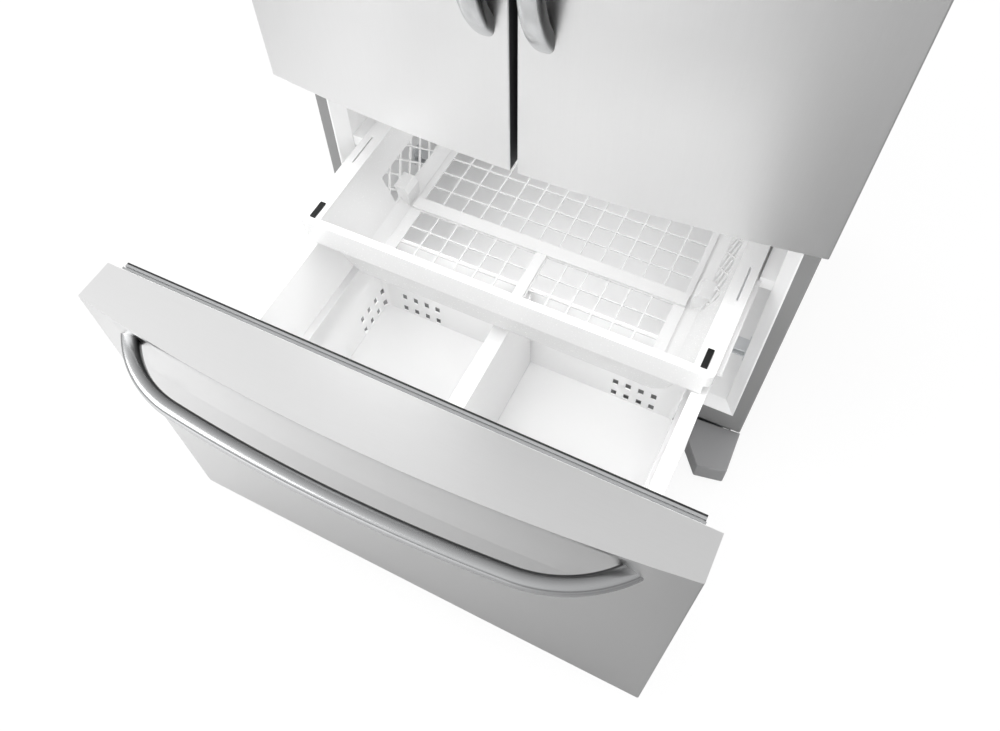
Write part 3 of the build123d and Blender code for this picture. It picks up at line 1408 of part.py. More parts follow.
bin_outside = bin_body(0, 0)
bin_inside = bin_body(BIN_WALL, BIN_FLOOR)
with BuildPart() as lower_bin:
    add(bin_outside.part)
    with BuildSketch(Plane.XY.offset(BIN_RIM - BIN_LIP_SKIRT)) as plan:
        with Locations((0, (bin_y[0] + bin_y[1]) / 2)):
            Rectangle(2 * (BIN_TOP_HALF + BIN_LIP), BIN_BACK - BIN_FRONT)
            fillet(plan.vertices(), 14)
    extrude(amount=BIN_LIP_SKIRT)
    for side in (-1, 1):
        under = side_range(side, BIN_TOP_HALF, BIN_TOP_HALF + BIN_LIP - BIN_WALL)
        box_between(
            (under[0], bin_y[0] - 1, BIN_RIM - BIN_LIP_SKIRT),
            (under[1], bin_y[1] + 1, BIN_RIM - BIN_LIP_THICKNESS),
            Mode.SUBTRACT,
        )
    add(bin_inside.part, mode=Mode.SUBTRACT)
    # The back wall stops low, so that the tray passes over it.
    box_between(
        (-BIN_TOP_HALF + BIN_WALL, bin_y[1] - 40, BIN_BACK_TOP),
        (BIN_TOP_HALF - BIN_WALL, bin_y[1] + 1, BIN_RIM + 1),
        Mode.SUBTRACT,
    )
    hole_z = BIN_BASE + BIN_HOLE_LOW + BIN_HOLE_RISE / 2
    for x in (-BIN_HOLE_X, BIN_HOLE_X):
        with Locations((x, bin_y[1], hole_z)):
            with GridLocations(BIN_HOLE_PITCH, 1, 4, 1):
                for rise in (-BIN_HOLE_RISE / 2, BIN_HOLE_RISE / 2):
                    with Locations((0, 0, rise)):
                        Box(BIN_HOLE, 60, BIN_HOLE_HEIGHT, mode=Mode.SUBTRACT)
    for side in (-1, 1):
        for rise in (-BIN_HOLE_RISE / 2, BIN_HOLE_RISE / 2):
            with Locations((side * BIN_BASE_HALF, bin_y[0] + BIN_SIDE_HOLE_Y, hole_z + rise)):
                with GridLocations(1, BIN_HOLE_PITCH, 1, 4):
                    Box(40, BIN_HOLE, BIN_HOLE_HEIGHT, mode=Mode.SUBTRACT)
save(lower_bin, "lower_bin")

# Divider that stands across the bin: an inverted channel with one cross rib at each end.
with BuildPart() as bin_divider:
    divider_y = (bin_y[0] + BIN_WALL + SEAT, bin_y[1] - BIN_DRAFT - BIN_WALL - 1)
    divider_low = BIN_BASE + BIN_FLOOR
    divider_high = BIN_BACK_TOP + 2
    with BuildSketch(at_y(divider_y[0])):
        for inset, mode in ((0, Mode.ADD), (BIN_WALL, Mode.SUBTRACT)):
            with BuildLine():
                Polyline(
                    (inset - DIVIDER_WIDTH / 2 - 3, divider_low),
                    (inset - DIVIDER_WIDTH / 2, divider_high - inset),
                    (DIVIDER_WIDTH / 2 - inset, divider_high - inset),
                    (DIVIDER_WIDTH / 2 + 3 - inset, divider_low),
                    close=True,
                )
            make_face(mode=mode)
    extrude(amount=divider_y[0] - divider_y[1])
    for y in divider_y:
        start = min(max(y, divider_y[0] + 20), divider_y[1] - 20)
        box_between(
            (-DIVIDER_WIDTH / 2 + 1, start, divider_low + 30),
            (DIVIDER_WIDTH / 2 - 1, start + BIN_WALL, divider_high - 1),
        )
save(bin_divider, "bin_divider")

# ================================================================ drawer slides
# Each side has three nested channels; the fixed one is held off the liner by brackets.
slide_mid_z = SLIDE_BASE + SLIDE_HEIGHT / 2
slide_far = SLIDE_X + SLIDE_THICKNESS
nesting = SLIDE_METAL + SLIDE_PLAY


def slide_member(step, web_outside, shift):
    """Pair of channels, one per side; each step nests inside the one before it."""
    height = SLIDE_HEIGHT - 2 * step * nesting
    far = slide_far - step * nesting
    with BuildPart() as member:
        for side in (-1, 1):
            with BuildSketch(at_y(SLIDE_START - shift)):
                with Locations((side * (SLIDE_X + far) / 2, slide_mid_z)):
                    Rectangle(far - SLIDE_X, height)
                offset_x = -SLIDE_METAL if web_outside else SLIDE_METAL
                with Locations((side * ((SLIDE_X + far) / 2 + offset_x), slide_mid_z)):
                    Rectangle(far - SLIDE_X, height - 2 * SLIDE_METAL, mode=Mode.SUBTRACT)
            extrude(amount=-SLIDE_LENGTH)
    return member


fixed_member = slide_member(0, True, 0)
bracket_places = (
    SLIDE_START + 25,
    SLIDE_START + SLIDE_LENGTH / 2,
    SLIDE_START + SLIDE_LENGTH - 25,
)
with BuildPart() as drawer_slide_outer:
    add(fixed_member.part)
    for side in (-1, 1):
        for y in bracket_places:
            for start, end in ((slide_far, slide_far + 2), (INNER_HALF - 2, INNER_HALF)):
                plate = side_range(side, start, end)
                box_between((plate[0], y - 14, SLIDE_BASE + 2), (plate[1], y + 14, SLIDE_BASE + 44))
            web = side_range(side, slide_far + 1, INNER_HALF - 1)
            for z in (slide_mid_z - 9, slide_mid_z + 6):
                box_between((web[0], y - 14, z), (web[1], y + 14, z + 3))
save(drawer_slide_outer, "drawer_slide_outer")
save(slide_member(1, True, DRAWER_OPEN / 2), "drawer_slide_middle")
save(slide_member(2, False, DRAWER_OPEN), "drawer_slide_inner")

# Rails on the drawer: a web on the moving slide member and a flange under the bin's shoulder.
with BuildPart() as drawer_rails:
    for side in (-1, 1):
        rail_y = (BIN_FRONT - DRAWER_OPEN, bin_y[1] - BIN_DRAFT)
        web = side_range(side, SLIDE_X - CARRIER, SLIDE_X)
        box_between((web[0], rail_y[0], SLIDE_BASE + 4), (web[1], rail_y[1], SHOULDER))
        flange = side_range(side, SLIDE_X - CARRIER, SLIDE_X - CARRIER + CARRIER_FLANGE)
        box_between((flange[0], rail_y[0], SHOULDER - CARRIER), (flange[1], rail_y[1], SHOULDER))
        foot = side_range(side, SLIDE_X - CARRIER, SLIDE_X + 24)
        box_between((foot[0], rail_y[0], SLIDE_BASE + 4), (foot[1], rail_y[0] + CARRIER, SHOULDER))
        with BuildSketch(Plane.YZ.offset(web[0])):
            with Locations(((rail_y[0] + rail_y[1]) / 2, slide_mid_z)):
                with GridLocations(90, 1, 4, 1):
                    Rectangle(60, 14)
        extrude(amount=CARRIER, mode=Mode.SUBTRACT)
save(drawer_rails, "drawer_rails")

# ================================================================ upper tray
tray_y = (TRAY_FRONT - TRAY_OPEN, TRAY_FRONT + TRAY_DEPTH - TRAY_OPEN)
body_half = TRAY_HALF - TRAY_BODY_INSET
cove_z = TRAY_BASE + TRAY_COVE_RISE
wall_z = TRAY_BASE + TRAY_COVE_TOP
body_y = (tray_y[0] + TRAY_BODY_FRONT, tray_y[1] - TRAY_BODY_REAR)
floor_y = (body_y[0] + TRAY_TAPER_Y, body_y[1] - TRAY_TAPER_Y)
tray_mid_y = sum(tray_y) / 2
floor_mid_y = sum(floor_y) / 2
floor_reach = floor_y[1] - floor_y[0]


def tray_form(inset, top):
    """Tray body: a section with coved sides, trimmed between the sloping end walls."""
    with BuildPart() as form:
        with BuildSketch(at_y(tray_y[1])):
            with BuildLine():
                Polyline(
                    (-body_half, top),
                    (-body_half, wall_z),
                    (-TRAY_COVE_HALF, cove_z),
                    (-TRAY_FLOOR_HALF, TRAY_BASE),
                    (TRAY_FLOOR_HALF, TRAY_BASE),
                    (TRAY_COVE_HALF, cove_z),
                    (body_half, wall_z),
                    (body_half, top),
                    close=True,
                )
            make_face()
            if inset > 0:
                offset(amount=-inset, kind=Kind.INTERSECTION)
        extrude(amount=TRAY_DEPTH)
        with BuildSketch(Plane.YZ):
            with BuildLine():
                Polyline(
                    (floor_y[0], TRAY_BASE),
                    (floor_y[1], TRAY_BASE),
                    (body_y[1], top),
                    (body_y[0], top),
                    close=True,
                )
            make_face()
            if inset > 0:
                offset(amount=-inset, kind=Kind.INTERSECTION)
        extrude(amount=TRAY_HALF, both=True, mode=Mode.INTERSECT)
    return form


tray_outside = tray_form(0, TRAY_RIM)
tray_inside = tray_form(TRAY_WALL, TRAY_RIM + 2 * TRAY_WALL)


def lattice_cutter(side):
    """Openings of one side's window: a rectangle with two sets of slanting bars left in."""
    middle_z = (LATTICE_LOW + LATTICE_HIGH) / 2
    height = LATTICE_HIGH - LATTICE_LOW
    bars = int((LATTICE_LENGTH + height) / LATTICE_PITCH / 2) + 1
    start = side_range(side, TRAY_COVE_HALF - 12, body_half + 12)
    with BuildPart() as cutter:
        with BuildSketch(Plane.YZ.offset(start[0])):
            with Locations((tray_y[0] + LATTICE_START + LATTICE_LENGTH / 2, middle_z)):
                Rectangle(LATTICE_LENGTH, height)
                for lean in (-45, 45):
                    for k in range(-bars, bars + 1):
                        with Locations(Location((k * LATTICE_PITCH * sqrt(2), 0), lean)):
                            Rectangle(LATTICE_BAR, 3 * height, mode=Mode.SUBTRACT)
        extrude(amount=start[1] - start[0])
    return cutter


lattice_cutters = [lattice_cutter(side) for side in (-1, 1)]

# Tray with a downturned rim, runners on its sides and latticed windows in its rear half.
with BuildPart() as upper_tray:
    add(tray_outside.part)
    with BuildSketch(Plane.XY.offset(TRAY_RIM - TRAY_WALL)) as rim:
        with Locations((0, tray_mid_y)):
            Rectangle(2 * TRAY_HALF, TRAY_DEPTH)
            fillet(rim.vertices(), 10)
    extrude(amount=TRAY_WALL)
    add(tray_inside.part, mode=Mode.SUBTRACT)
    with BuildSketch(Plane.XY.offset(TRAY_BASE)):
        with Locations((0, floor_mid_y)):
            Rectangle(
                2 * (TRAY_FLOOR_HALF - TRAY_LEDGE - TRAY_WALL),
                floor_reach - 2 * (TRAY_LEDGE + TRAY_WALL),
            )
    extrude(amount=TRAY_WALL, mode=Mode.SUBTRACT)
    for piece in lattice_cutters:
        add(piece.part, mode=Mode.SUBTRACT)
    for side in (-1, 1):
        slot_y = tray_y[0] + RIM_SLOT_START + RIM_SLOT_LENGTH / 2
        with Locations((side * (TRAY_HALF - RIM_SLOT_INSET), slot_y, TRAY_RIM)):
            Box(RIM_SLOT_WIDTH, RIM_SLOT_LENGTH, 3 * TRAY_WALL, mode=Mode.SUBTRACT)
        with Locations((side * LATCH_X, tray_y[0] + LATCH_FRONT + LATCH_LENGTH / 2, TRAY_RIM)):
            Box(
                LATCH_WIDTH + 2 * SEAT,
                LATCH_LENGTH + 2 * SEAT,
                3 * TRAY_WALL,
                mode=Mode.SUBTRACT,
            )
    with BuildSketch(Plane.XY.offset(TRAY_RIM - TRAY_SIDE_RIM)):
        for inset, mode in ((0, Mode.ADD), (TRAY_WALL, Mode.SUBTRACT)):
            with Locations((0, tray_mid_y)):
                RectangleRounded(
                    2 * (TRAY_HALF - inset), TRAY_DEPTH - 2 * inset, 10 - inset, mode=mode
                )
    extrude(amount=TRAY_SIDE_RIM - 1)
    box_between(
        (-TRAY_HALF + 11, tray_y[0], TRAY_RIM - TRAY_SKIRT),
        (TRAY_HALF - 11, tray_y[0] + TRAY_WALL, TRAY_RIM - TRAY_SIDE_RIM + 1),
    )
    # Blocks at the front foot of each window, standing on the sloping side.
    with BuildSketch(at_y(tray_y[0] + BLOCK_START + BLOCK_LENGTH)):
        for side in (-1, 1):
            with BuildLine():
                Polyline(
                    (side * (TRAY_FLOOR_HALF + 1), TRAY_BASE + TRAY_WALL / 2),
                    (side * (TRAY_FLOOR_HALF + 1), cove_z + 0.6 * BLOCK_RISE),
                    (side * (TRAY_FLOOR_HALF + 9), cove_z + BLOCK_RISE),
                    (side * (TRAY_COVE_HALF + 0.35 * BLOCK_RISE), cove_z + BLOCK_RISE),
                    (side * TRAY_COVE_HALF, cove_z + TRAY_WALL),
                    close=True,
                )
            make_face()
    extrude(amount=BLOCK_LENGTH)
    for side in (-1, 1):
        runner = side_range(side, TRAY_HALF - 1, TRAY_HALF + RUNNER_WIDTH)
        box_between(
            (runner[0], tray_y[0] + 24, RUNNER_BASE),
            (runner[1], tray_y[1] - 10, RUNNER_BASE + RUNNER_THICKNESS),
        )
save(upper_tray, "upper_tray")

# Open floor mesh that lies on the tray's ledge, with a cross beam and a front spine.
mesh_cell = MESH_PITCH - MESH_WIRE
with BuildPart() as tray_floor_grid:
    grid_base = TRAY_BASE + TRAY_WALL
    grid_half = TRAY_FLOOR_HALF - TRAY_WALL - 2
    grid_y = (floor_y[0] + TRAY_WALL + 2, floor_y[1] - TRAY_WALL - 2)
    beam_y = grid_y[0] + MESH_ROWS * MESH_PITCH + MESH_LEDGE
    with BuildSketch(Plane.XY.offset(grid_base)) as net:
        with Locations((0, sum(grid_y) / 2)):
            Rectangle(2 * grid_half, grid_y[1] - grid_y[0])
            chamfer(net.vertices(), 6)
        front_y = beam_y - MESH_ROWS * MESH_PITCH / 2
        half_columns = int(grid_half / MESH_PITCH - 0.5)
        for side in (-1, 1):
            side_x = side * (MESH_SPINE / 2 + MESH_WIRE / 2 + half_columns * MESH_PITCH / 2)
            with Locations((side_x, front_y)):
                with GridLocations(MESH_PITCH, MESH_PITCH, half_columns, MESH_ROWS):
                    Rectangle(mesh_cell, mesh_cell, mode=Mode.SUBTRACT)
        rear_y = beam_y + MESH_BEAM + MESH_ROWS * MESH_PITCH / 2
        with Locations((0, rear_y)):
            with GridLocations(MESH_PITCH, MESH_PITCH, 2 * half_columns + 1, MESH_ROWS):
                Rectangle(mesh_cell, mesh_cell, mode=Mode.SUBTRACT)
    extrude(amount=MESH_THICKNESS)
    box_between(
        (-grid_half + 1, beam_y, grid_base),
        (grid_half - 1, beam_y + MESH_BEAM, grid_base + MESH_THICKNESS + MESH_BEAM_RISE),
    )
    box_between(
        (-MESH_SPINE / 2, grid_y[0] + MESH_LEDGE, grid_base),
        (MESH_SPINE / 2, beam_y + 1, grid_base + MESH_THICKNESS + MESH_BEAM_RISE - 1),
    )
save(tray_floor_grid, "tray_floor_grid")


def tray_latch(side):
    """Push latch in the tray's rim, kept in by a foot under the rim."""
    with BuildPart() as latch:
        with Locations((side * LATCH_X, tray_y[0] + LATCH_FRONT + LATCH_LENGTH / 2, TRAY_RIM)):
            with Locations((0, 0, (LATCH_PROUD - LATCH_HEIGHT) / 2)):
                Box(LATCH_WIDTH, LATCH_LENGTH, LATCH_HEIGHT + LATCH_PROUD)
            with Locations((0, 0, -LATCH_HEIGHT + 1)):
                Box(LATCH_WIDTH + 4, LATCH_LENGTH + 4, 3)
        fillet(latch.faces().sort_by(Axis.Z)[-1].edges(), 1)
    return latch


save(tray_latch(-1), "tray_latch_left")
save(tray_latch(1), "tray_latch_right")

# Grooved rails on the freezer liner's walls that carry the tray's runners.
with BuildPart() as tray_rails:
    groove_mid = RUNNER_BASE + RUNNER_THICKNESS / 2
    for side in (-1, 1):
        rail = side_range(side, INNER_HALF - TRAY_RAIL_WIDTH, INNER_HALF)
        box_between(
            (rail[0], MOUTH_DEPTH + 2, groove_mid - TRAY_RAIL_HEIGHT / 2),
            (rail[1], EVAPORATOR_COVER_Y - 1, groove_mid + TRAY_RAIL_HEIGHT / 2),
        )
        groove = side_range(side, INNER_HALF - TRAY_RAIL_WIDTH, TRAY_HALF + RUNNER_WIDTH + SEAT)
        box_between(
            (groove[0], 0, RUNNER_BASE - SEAT),
            (groove[1], EVAPORATOR_COVER_Y - 12, RUNNER_BASE + RUNNER_THICKNESS + SEAT),
            Mode.SUBTRACT,
        )
save(tray_rails, "tray_rails")
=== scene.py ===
# %% [markdown]
# # Bottom freezer refrigerator with its drawer open
#
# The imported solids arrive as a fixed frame: every object sits at the origin with its
# place in its mesh, in metres, with +X to the right, +Y to the back and +Z up. The cells
# below set the camera and the finishes, build the pieces whose surfaces need to be
# smoother than flat triangles can be, and then light them in a white studio.

import math

import bmesh
import bpy
import numpy as np
from mathutils import Matrix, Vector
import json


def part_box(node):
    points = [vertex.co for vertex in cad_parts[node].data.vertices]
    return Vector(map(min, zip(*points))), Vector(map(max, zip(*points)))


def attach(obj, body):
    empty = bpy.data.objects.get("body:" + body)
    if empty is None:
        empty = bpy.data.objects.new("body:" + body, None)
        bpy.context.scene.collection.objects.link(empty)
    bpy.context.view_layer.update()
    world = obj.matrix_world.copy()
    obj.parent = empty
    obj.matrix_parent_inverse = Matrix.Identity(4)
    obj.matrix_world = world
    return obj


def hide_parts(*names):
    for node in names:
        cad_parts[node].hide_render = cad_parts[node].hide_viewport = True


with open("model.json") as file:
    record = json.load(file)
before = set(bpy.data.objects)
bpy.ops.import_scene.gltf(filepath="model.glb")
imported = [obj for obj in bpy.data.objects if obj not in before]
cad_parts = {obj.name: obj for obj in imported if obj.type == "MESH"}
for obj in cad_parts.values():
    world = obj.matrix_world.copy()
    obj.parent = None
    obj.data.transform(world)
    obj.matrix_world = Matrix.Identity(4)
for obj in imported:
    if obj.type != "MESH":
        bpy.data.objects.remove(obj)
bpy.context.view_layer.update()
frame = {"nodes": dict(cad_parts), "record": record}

# %% [markdown]
# The photograph looks down on the open drawer from the right. Yaw, pitch and roll turn
# three axes, and these become the columns of the camera's rotation, so that no aiming
# helper has to guess the roll. The shift keeps the lens's axis where the picture's
# centre is off it, as it is on a cropped photograph.

# %% Camera
YAW, PITCH, ROLL = (math.radians(a) for a in (32.16, 57.24, -5.41))
EYE = (0.399, -0.930, 1.6424)
FOCAL_MM = 31.30
SENSOR_MM = 36.0
SHIFT = (0.0363, -0.0163)
FAR_END = 60.0

forward = np.array(
    [-math.sin(YAW) * math.cos(PITCH), math.cos(YAW) * math.cos(PITCH), -math.sin(PITCH)]
)
level = np.array([math.cos(YAW), math.sin(YAW), 0.0])
above = np.cross(level, forward)
right = math.cos(ROLL) * level + math.sin(ROLL) * above
upward = math.cos(ROLL) * above - math.sin(ROLL) * level


def placed(x_axis, y_axis, z_axis, place):
    """A 4x4 matrix whose columns are three axes and a place."""
    matrix = np.eye(4)
    matrix[:3, 0], matrix[:3, 1], matrix[:3, 2], matrix[:3, 3] = x_axis, y_axis, z_axis, place
    return Matrix(matrix.tolist())


lens = bpy.data.cameras.new("photo_lens")
lens.lens = FOCAL_MM
lens.sensor_width = SENSOR_MM
lens.shift_x, lens.shift_y = SHIFT
lens.clip_end = FAR_END
eye = bpy.data.objects.new("photo_eye", lens)
eye.matrix_world = placed(right, upward, -forward, EYE)
bpy.context.scene.collection.objects.link(eye)
bpy.context.scene.camera = eye
bpy.context.scene.view_settings.view_transform = "Standard"
print("camera at", EYE, "focal length", FOCAL_MM, "mm")

# %% [markdown]
# A finish is a small graph of nodes. One helper adds a node, sets its values and joins
# its links, and another turns a colour that is written as a hex number in sRGB into the
# linear values that the shader works in.

# %% Node and colour helpers
def linear(code):
    """sRGB hex to linear: each channel c is c/12.92 below 0.04045, else ((c+0.055)/1.055)^2.4."""
    channels = np.array([int(code[i : i + 2], 16) for i in (1, 3, 5)]) / 255.0
    low = channels / 12.92
    high = ((channels + 0.055) / 1.055) ** 2.4
    return (*np.where(channels <= 0.04045, low, high).tolist(), 1.0)


def add_node(tree, kind, values=None, links=None, **settings):
    """One node of the given kind: settings are its own options, values its sockets."""
    node = tree.nodes.new("ShaderNode" + kind)
    for name, value in settings.items():
        setattr(node, name, value)
    for socket, value in (values or {}).items():
        node.inputs[socket].default_value = value
    for socket, source in (links or {}).items():
        tree.links.new(source, node.inputs[socket])
    return node


def new_finish(name):
    """An empty material: its tree, and its object coordinates in metres."""
    finish = bpy.data.materials.new(name)
    finish.use_nodes = True
    finish.node_tree.nodes.clear()
    place = add_node(finish.node_tree, "TexCoord").outputs["Object"]
    return finish, finish.node_tree, place


def finish_with(tree, shader):
    """Join a shader to the material's output."""
    out = add_node(tree, "OutputMaterial")
    tree.links.new(shader.outputs[0], out.inputs["Surface"])


print("middle grey in linear values", [round(c, 3) for c in linear("#808080")])

# %% [markdown]
# Brushed stainless steel is a mirror cut by fine parallel scratches. Across the grain a
# reflection spreads wide, along it hardly at all, so noise stretched along the grain
# drives both the roughness and a slight bump. Real scratches lie about 0.1 mm apart.
# They are drawn ten times coarser, so that a pixel of the render can show them. A slow
# cloud keeps a broad sheet from looking printed.
#
# On a bar the colour also carries painted shade: an attribute of the mesh darkens the
# side turned to the door.

# %% Brushed stainless steel
GRAIN_MM = 1.0
GRAIN_STRETCH = 90.0
SCRATCH_DEPTH = 0.0002
CLOUD_MM = 385.0
CLOUD_TONE = (0.97, 1.02)
STREAK_TONE = (0.975, 1.02)


def brushed_steel(name, colour, roughness, spread, grain_axis, strength, painted_shade=None):
    """Stretched noise along one axis gives the grain; a slow noise clouds the colour.

    Painted shade names a mesh attribute that falls from 1 to 0 where shade is painted in.
    """
    finish, tree, place = new_finish(name)
    scale = [1000.0 / GRAIN_MM] * 3
    scale[grain_axis] = 1000.0 / (GRAIN_MM * GRAIN_STRETCH)
    stretched = add_node(tree, "Mapping", {"Scale": scale}, {"Vector": place})
    grain = add_node(
        tree, "TexNoise", {"Scale": 1.0, "Detail": 3.0, "Roughness": 0.6},
        {"Vector": stretched.outputs[0]},
    )
    cloud = add_node(
        tree, "TexNoise", {"Scale": 1000.0 / CLOUD_MM, "Detail": 2.0}, {"Vector": place}
    )
    tint = add_node(
        tree, "MapRange", {"To Min": CLOUD_TONE[0], "To Max": CLOUD_TONE[1]},
        {"Value": cloud.outputs["Fac"]},
    )
    streak = add_node(
        tree, "MapRange", {"To Min": STREAK_TONE[0], "To Max": STREAK_TONE[1]},
        {"Value": grain.outputs["Fac"]},
    )
    tone = add_node(
        tree, "Math", {}, {0: tint.outputs[0], 1: streak.outputs[0]}, operation="MULTIPLY"
    )
    # Painted shade: the attribute darkens the colour where a bar turns towards the door.
    if painted_shade:
        unshaded = add_node(tree, "Attribute", attribute_name=painted_shade)
        tone = add_node(
            tree, "Math", {}, {0: tone.outputs[0], 1: unshaded.outputs["Fac"]},
            operation="MULTIPLY",
        )
    toned = add_node(
        tree, "VectorMath", {0: linear(colour)[:3]}, {"Scale": tone.outputs[0]},
        operation="SCALE",
    )
    rough = add_node(
        tree, "MapRange", {"To Min": roughness - spread, "To Max": roughness + spread},
        {"Value": grain.outputs["Fac"]},
    )
    bump = add_node(
        tree, "Bump", {"Strength": strength, "Distance": SCRATCH_DEPTH},
        {"Height": grain.outputs["Fac"]},
    )
    shader = add_node(
        tree, "BsdfPrincipled", {"Metallic": 1.0},
        {
            "Base Color": toned.outputs[0],
            "Roughness": rough.outputs[0],
            "Normal": bump.outputs[0],
        },
    )
    finish_with(tree, shader)
    return finish


print("grain", GRAIN_MM, "mm across and", GRAIN_MM * GRAIN_STRETCH, "mm along")

# %% [markdown]
# The doors and the drawer are cut from brushed sheet, and the handles are ground from
# thick bar after they are bent. A finer grinding makes a lower roughness, so the bars
# show narrower highlights than the sheet beside them.

# %% Sheet and bar
ALONG_X, ALONG_Z = 0, 2
# The mesh attribute that holds the bars' painted shade.
SHADE_ATTRIBUTE = "painted_shade"

# Sheet brushed upright: lamps and floor become a wide, pale blur that spreads sideways.
door_steel = brushed_steel("brushed_stainless_sheet", "#F5F5F5", 0.38, 0.05, ALONG_Z, 0.05)

# Sheet brushed level: the same blur on the drawer, which spreads up and down.
drawer_steel = brushed_steel("brushed_stainless_drawer", "#EDEDED", 0.34, 0.05, ALONG_X, 0.05)

# Ground bar that lies level: a bright line along its front, and painted shade behind it.
handle_steel = brushed_steel(
    "satin_stainless_bar", "#D6D7D8", 0.24, 0.04, ALONG_X, 0.04, painted_shade=SHADE_ATTRIBUTE
)

# Ground bar that stands upright: its grain runs along it too, and it carries painted shade.
door_handle_steel = brushed_steel(
    "satin_stainless_upright_bar", "#D6D7D8", 0.24, 0.04, ALONG_Z, 0.04, painted_shade=SHADE_ATTRIBUTE
)
print("steel:", door_steel.name, drawer_steel.name, handle_steel.name, door_handle_steel.name)

# %% [markdown]
# Plastics differ by colour, gloss and the fine texture of their moulds. One function
# writes them all: a grain noise for the mould's texture, and a slow noise that lets the
# tone drift a little, as it does over a large moulding. The drawer's seal is pale, and a
# second colour may take over behind a given depth: black painted shade along its back edge.

# %% Moulded plastics, paint and vinyl
DRIFT_MM = 250.0
TEXTURE_DEPTH = 0.0002
GLOSS_SPREAD = 0.04
SHADE_BAND_BLEND = 0.0004


def moulded(name, colour, roughness, grain_mm, bump_strength, drift=0.02, shade_band=None, **extra):
    """Constant shader values, a drifting tone and a fine bump sized in millimetres.

    A shade band is painted shade: a second colour and the depth in Y, in metres,
    behind which it takes over.
    """
    finish, tree, place = new_finish(name)
    cloud = add_node(
        tree, "TexNoise", {"Scale": 1000.0 / DRIFT_MM, "Detail": 2.0}, {"Vector": place}
    )
    tint = add_node(
        tree, "MapRange", {"To Min": 1.0 - drift, "To Max": 1.0 + drift / 2},
        {"Value": cloud.outputs["Fac"]},
    )
    base_colour = add_node(
        tree, "VectorMath", {0: linear(colour)[:3]}, {"Scale": tint.outputs[0]},
        operation="SCALE",
    ).outputs[0]
    # Painted shade: a black band behind the given depth.
    if shade_band:
        shade_colour, depth = shade_band
        axes = add_node(tree, "SeparateXYZ", {}, {0: place})
        behind = add_node(
            tree, "MapRange", {"From Min": depth - SHADE_BAND_BLEND, "From Max": depth + SHADE_BAND_BLEND},
            {"Value": axes.outputs["Y"]},
        )
        # A Mix of colours has its factor in socket 0 and the two colours in 6 and 7.
        base_colour = add_node(
            tree, "Mix", {7: linear(shade_colour)}, {0: behind.outputs[0], 6: base_colour},
            data_type="RGBA",
        ).outputs[2]
    grain = add_node(
        tree, "TexNoise", {"Scale": 1000.0 / grain_mm, "Detail": 2.0}, {"Vector": place}
    )
    rough = add_node(
        tree, "MapRange",
        {"To Min": roughness - GLOSS_SPREAD, "To Max": roughness + GLOSS_SPREAD},
        {"Value": grain.outputs["Fac"]},
    )
    bump = add_node(
        tree, "Bump", {"Strength": bump_strength, "Distance": TEXTURE_DEPTH},
        {"Height": grain.outputs["Fac"]},
    )
    shader = add_node(
        tree, "BsdfPrincipled", extra,
        {"Base Color": base_colour, "Roughness": rough.outputs[0], "Normal": bump.outputs[0]},
    )
    finish_with(tree, shader)
    return finish


print("mould texture up to", TEXTURE_DEPTH * 1000.0, "mm deep")

# %% [markdown]
# The case is sprayed steel. Liners are sheets that were sucked into a mould, while the
# bin and the tray were injected, which leaves them glossier. Each index of refraction
# is the usual one of its plastic.

# %% Case paint and white plastics
# Baked enamel on steel: satin grey, with the faint orange peel of sprayed paint.
case_paint = moulded("satin_grey_enamel", "#868686", 0.42, 1.6, 0.10, IOR=1.5)

# Vacuum-formed polystyrene: a soft, even sheen on broad white walls.
liner_plastic = moulded("white_polystyrene_liner", "#F2F2F2", 0.34, 2.0, 0.04, IOR=1.59)

# Injected crystal styrene: glossy, and light below its surface softens its corners.
bin_plastic = moulded(
    "white_crystal_styrene", "#FAFAFA", 0.22, 3.0, 0.02,
    **{
        "IOR": 1.59,
        "Subsurface Weight": 0.6,
        "Subsurface Radius": (1.0, 1.0, 1.0),
        "Subsurface Scale": 0.005,
    },
)

# Injected styrene, a shade darker as painted shade for the strongly lit tray; no light comes
# through.
tray_plastic = moulded("white_tray_styrene", "#E4E4E4", 0.26, 3.0, 0.02, IOR=1.59)
print("pale:", case_paint.name, liner_plastic.name, bin_plastic.name, tray_plastic.name)

# %% [markdown]
# Seals are extruded from soft vinyl and catch hardly any highlight. Trim comes from an
# etched mould, which leaves it matt. What slides or rolls is coated or slippery, and the
# machine parts at the back are black or dark.

# %% Seals, trim and machine parts
SEAL_SHADE_DEPTH = -0.4906

# Extruded vinyl: dull grey bellows, with black painted shade along the back edge that meets the
# case.
seal_vinyl = moulded(
    "soft_grey_vinyl", "#8E8F90", 0.55, 1.2, 0.06, shade_band=("#1C1C1D", SEAL_SHADE_DEPTH), IOR=1.52
)

# The same vinyl in near black, round the doors.
door_seal_vinyl = moulded("soft_black_vinyl", "#262728", 0.5, 1.2, 0.06, IOR=1.52)

# ABS from an etched mould: matt middle grey with a fine pebble.
grey_plastic = moulded("grey_abs_trim", "#8A8A8B", 0.46, 0.8, 0.12, IOR=1.53)

# Epoxy enamel on the slides: a pale, even film with a low gloss.
slide_enamel = moulded("pale_epoxy_enamel", "#D9DBDD", 0.35, 2.0, 0.04, IOR=1.5)

# Moulded acetal: black with a waxy sheen.
black_plastic = moulded("black_acetal", "#141414", 0.38, 0.8, 0.08, IOR=1.48)

# Baked enamel on the compressor: the glossiest black.
black_enamel = moulded("black_baked_enamel", "#0E0E0F", 0.3, 2.5, 0.06, IOR=1.5)

# Moulded nylon: dark, dull rollers.
nylon = moulded("dark_nylon", "#333436", 0.5, 0.8, 0.08, IOR=1.53)

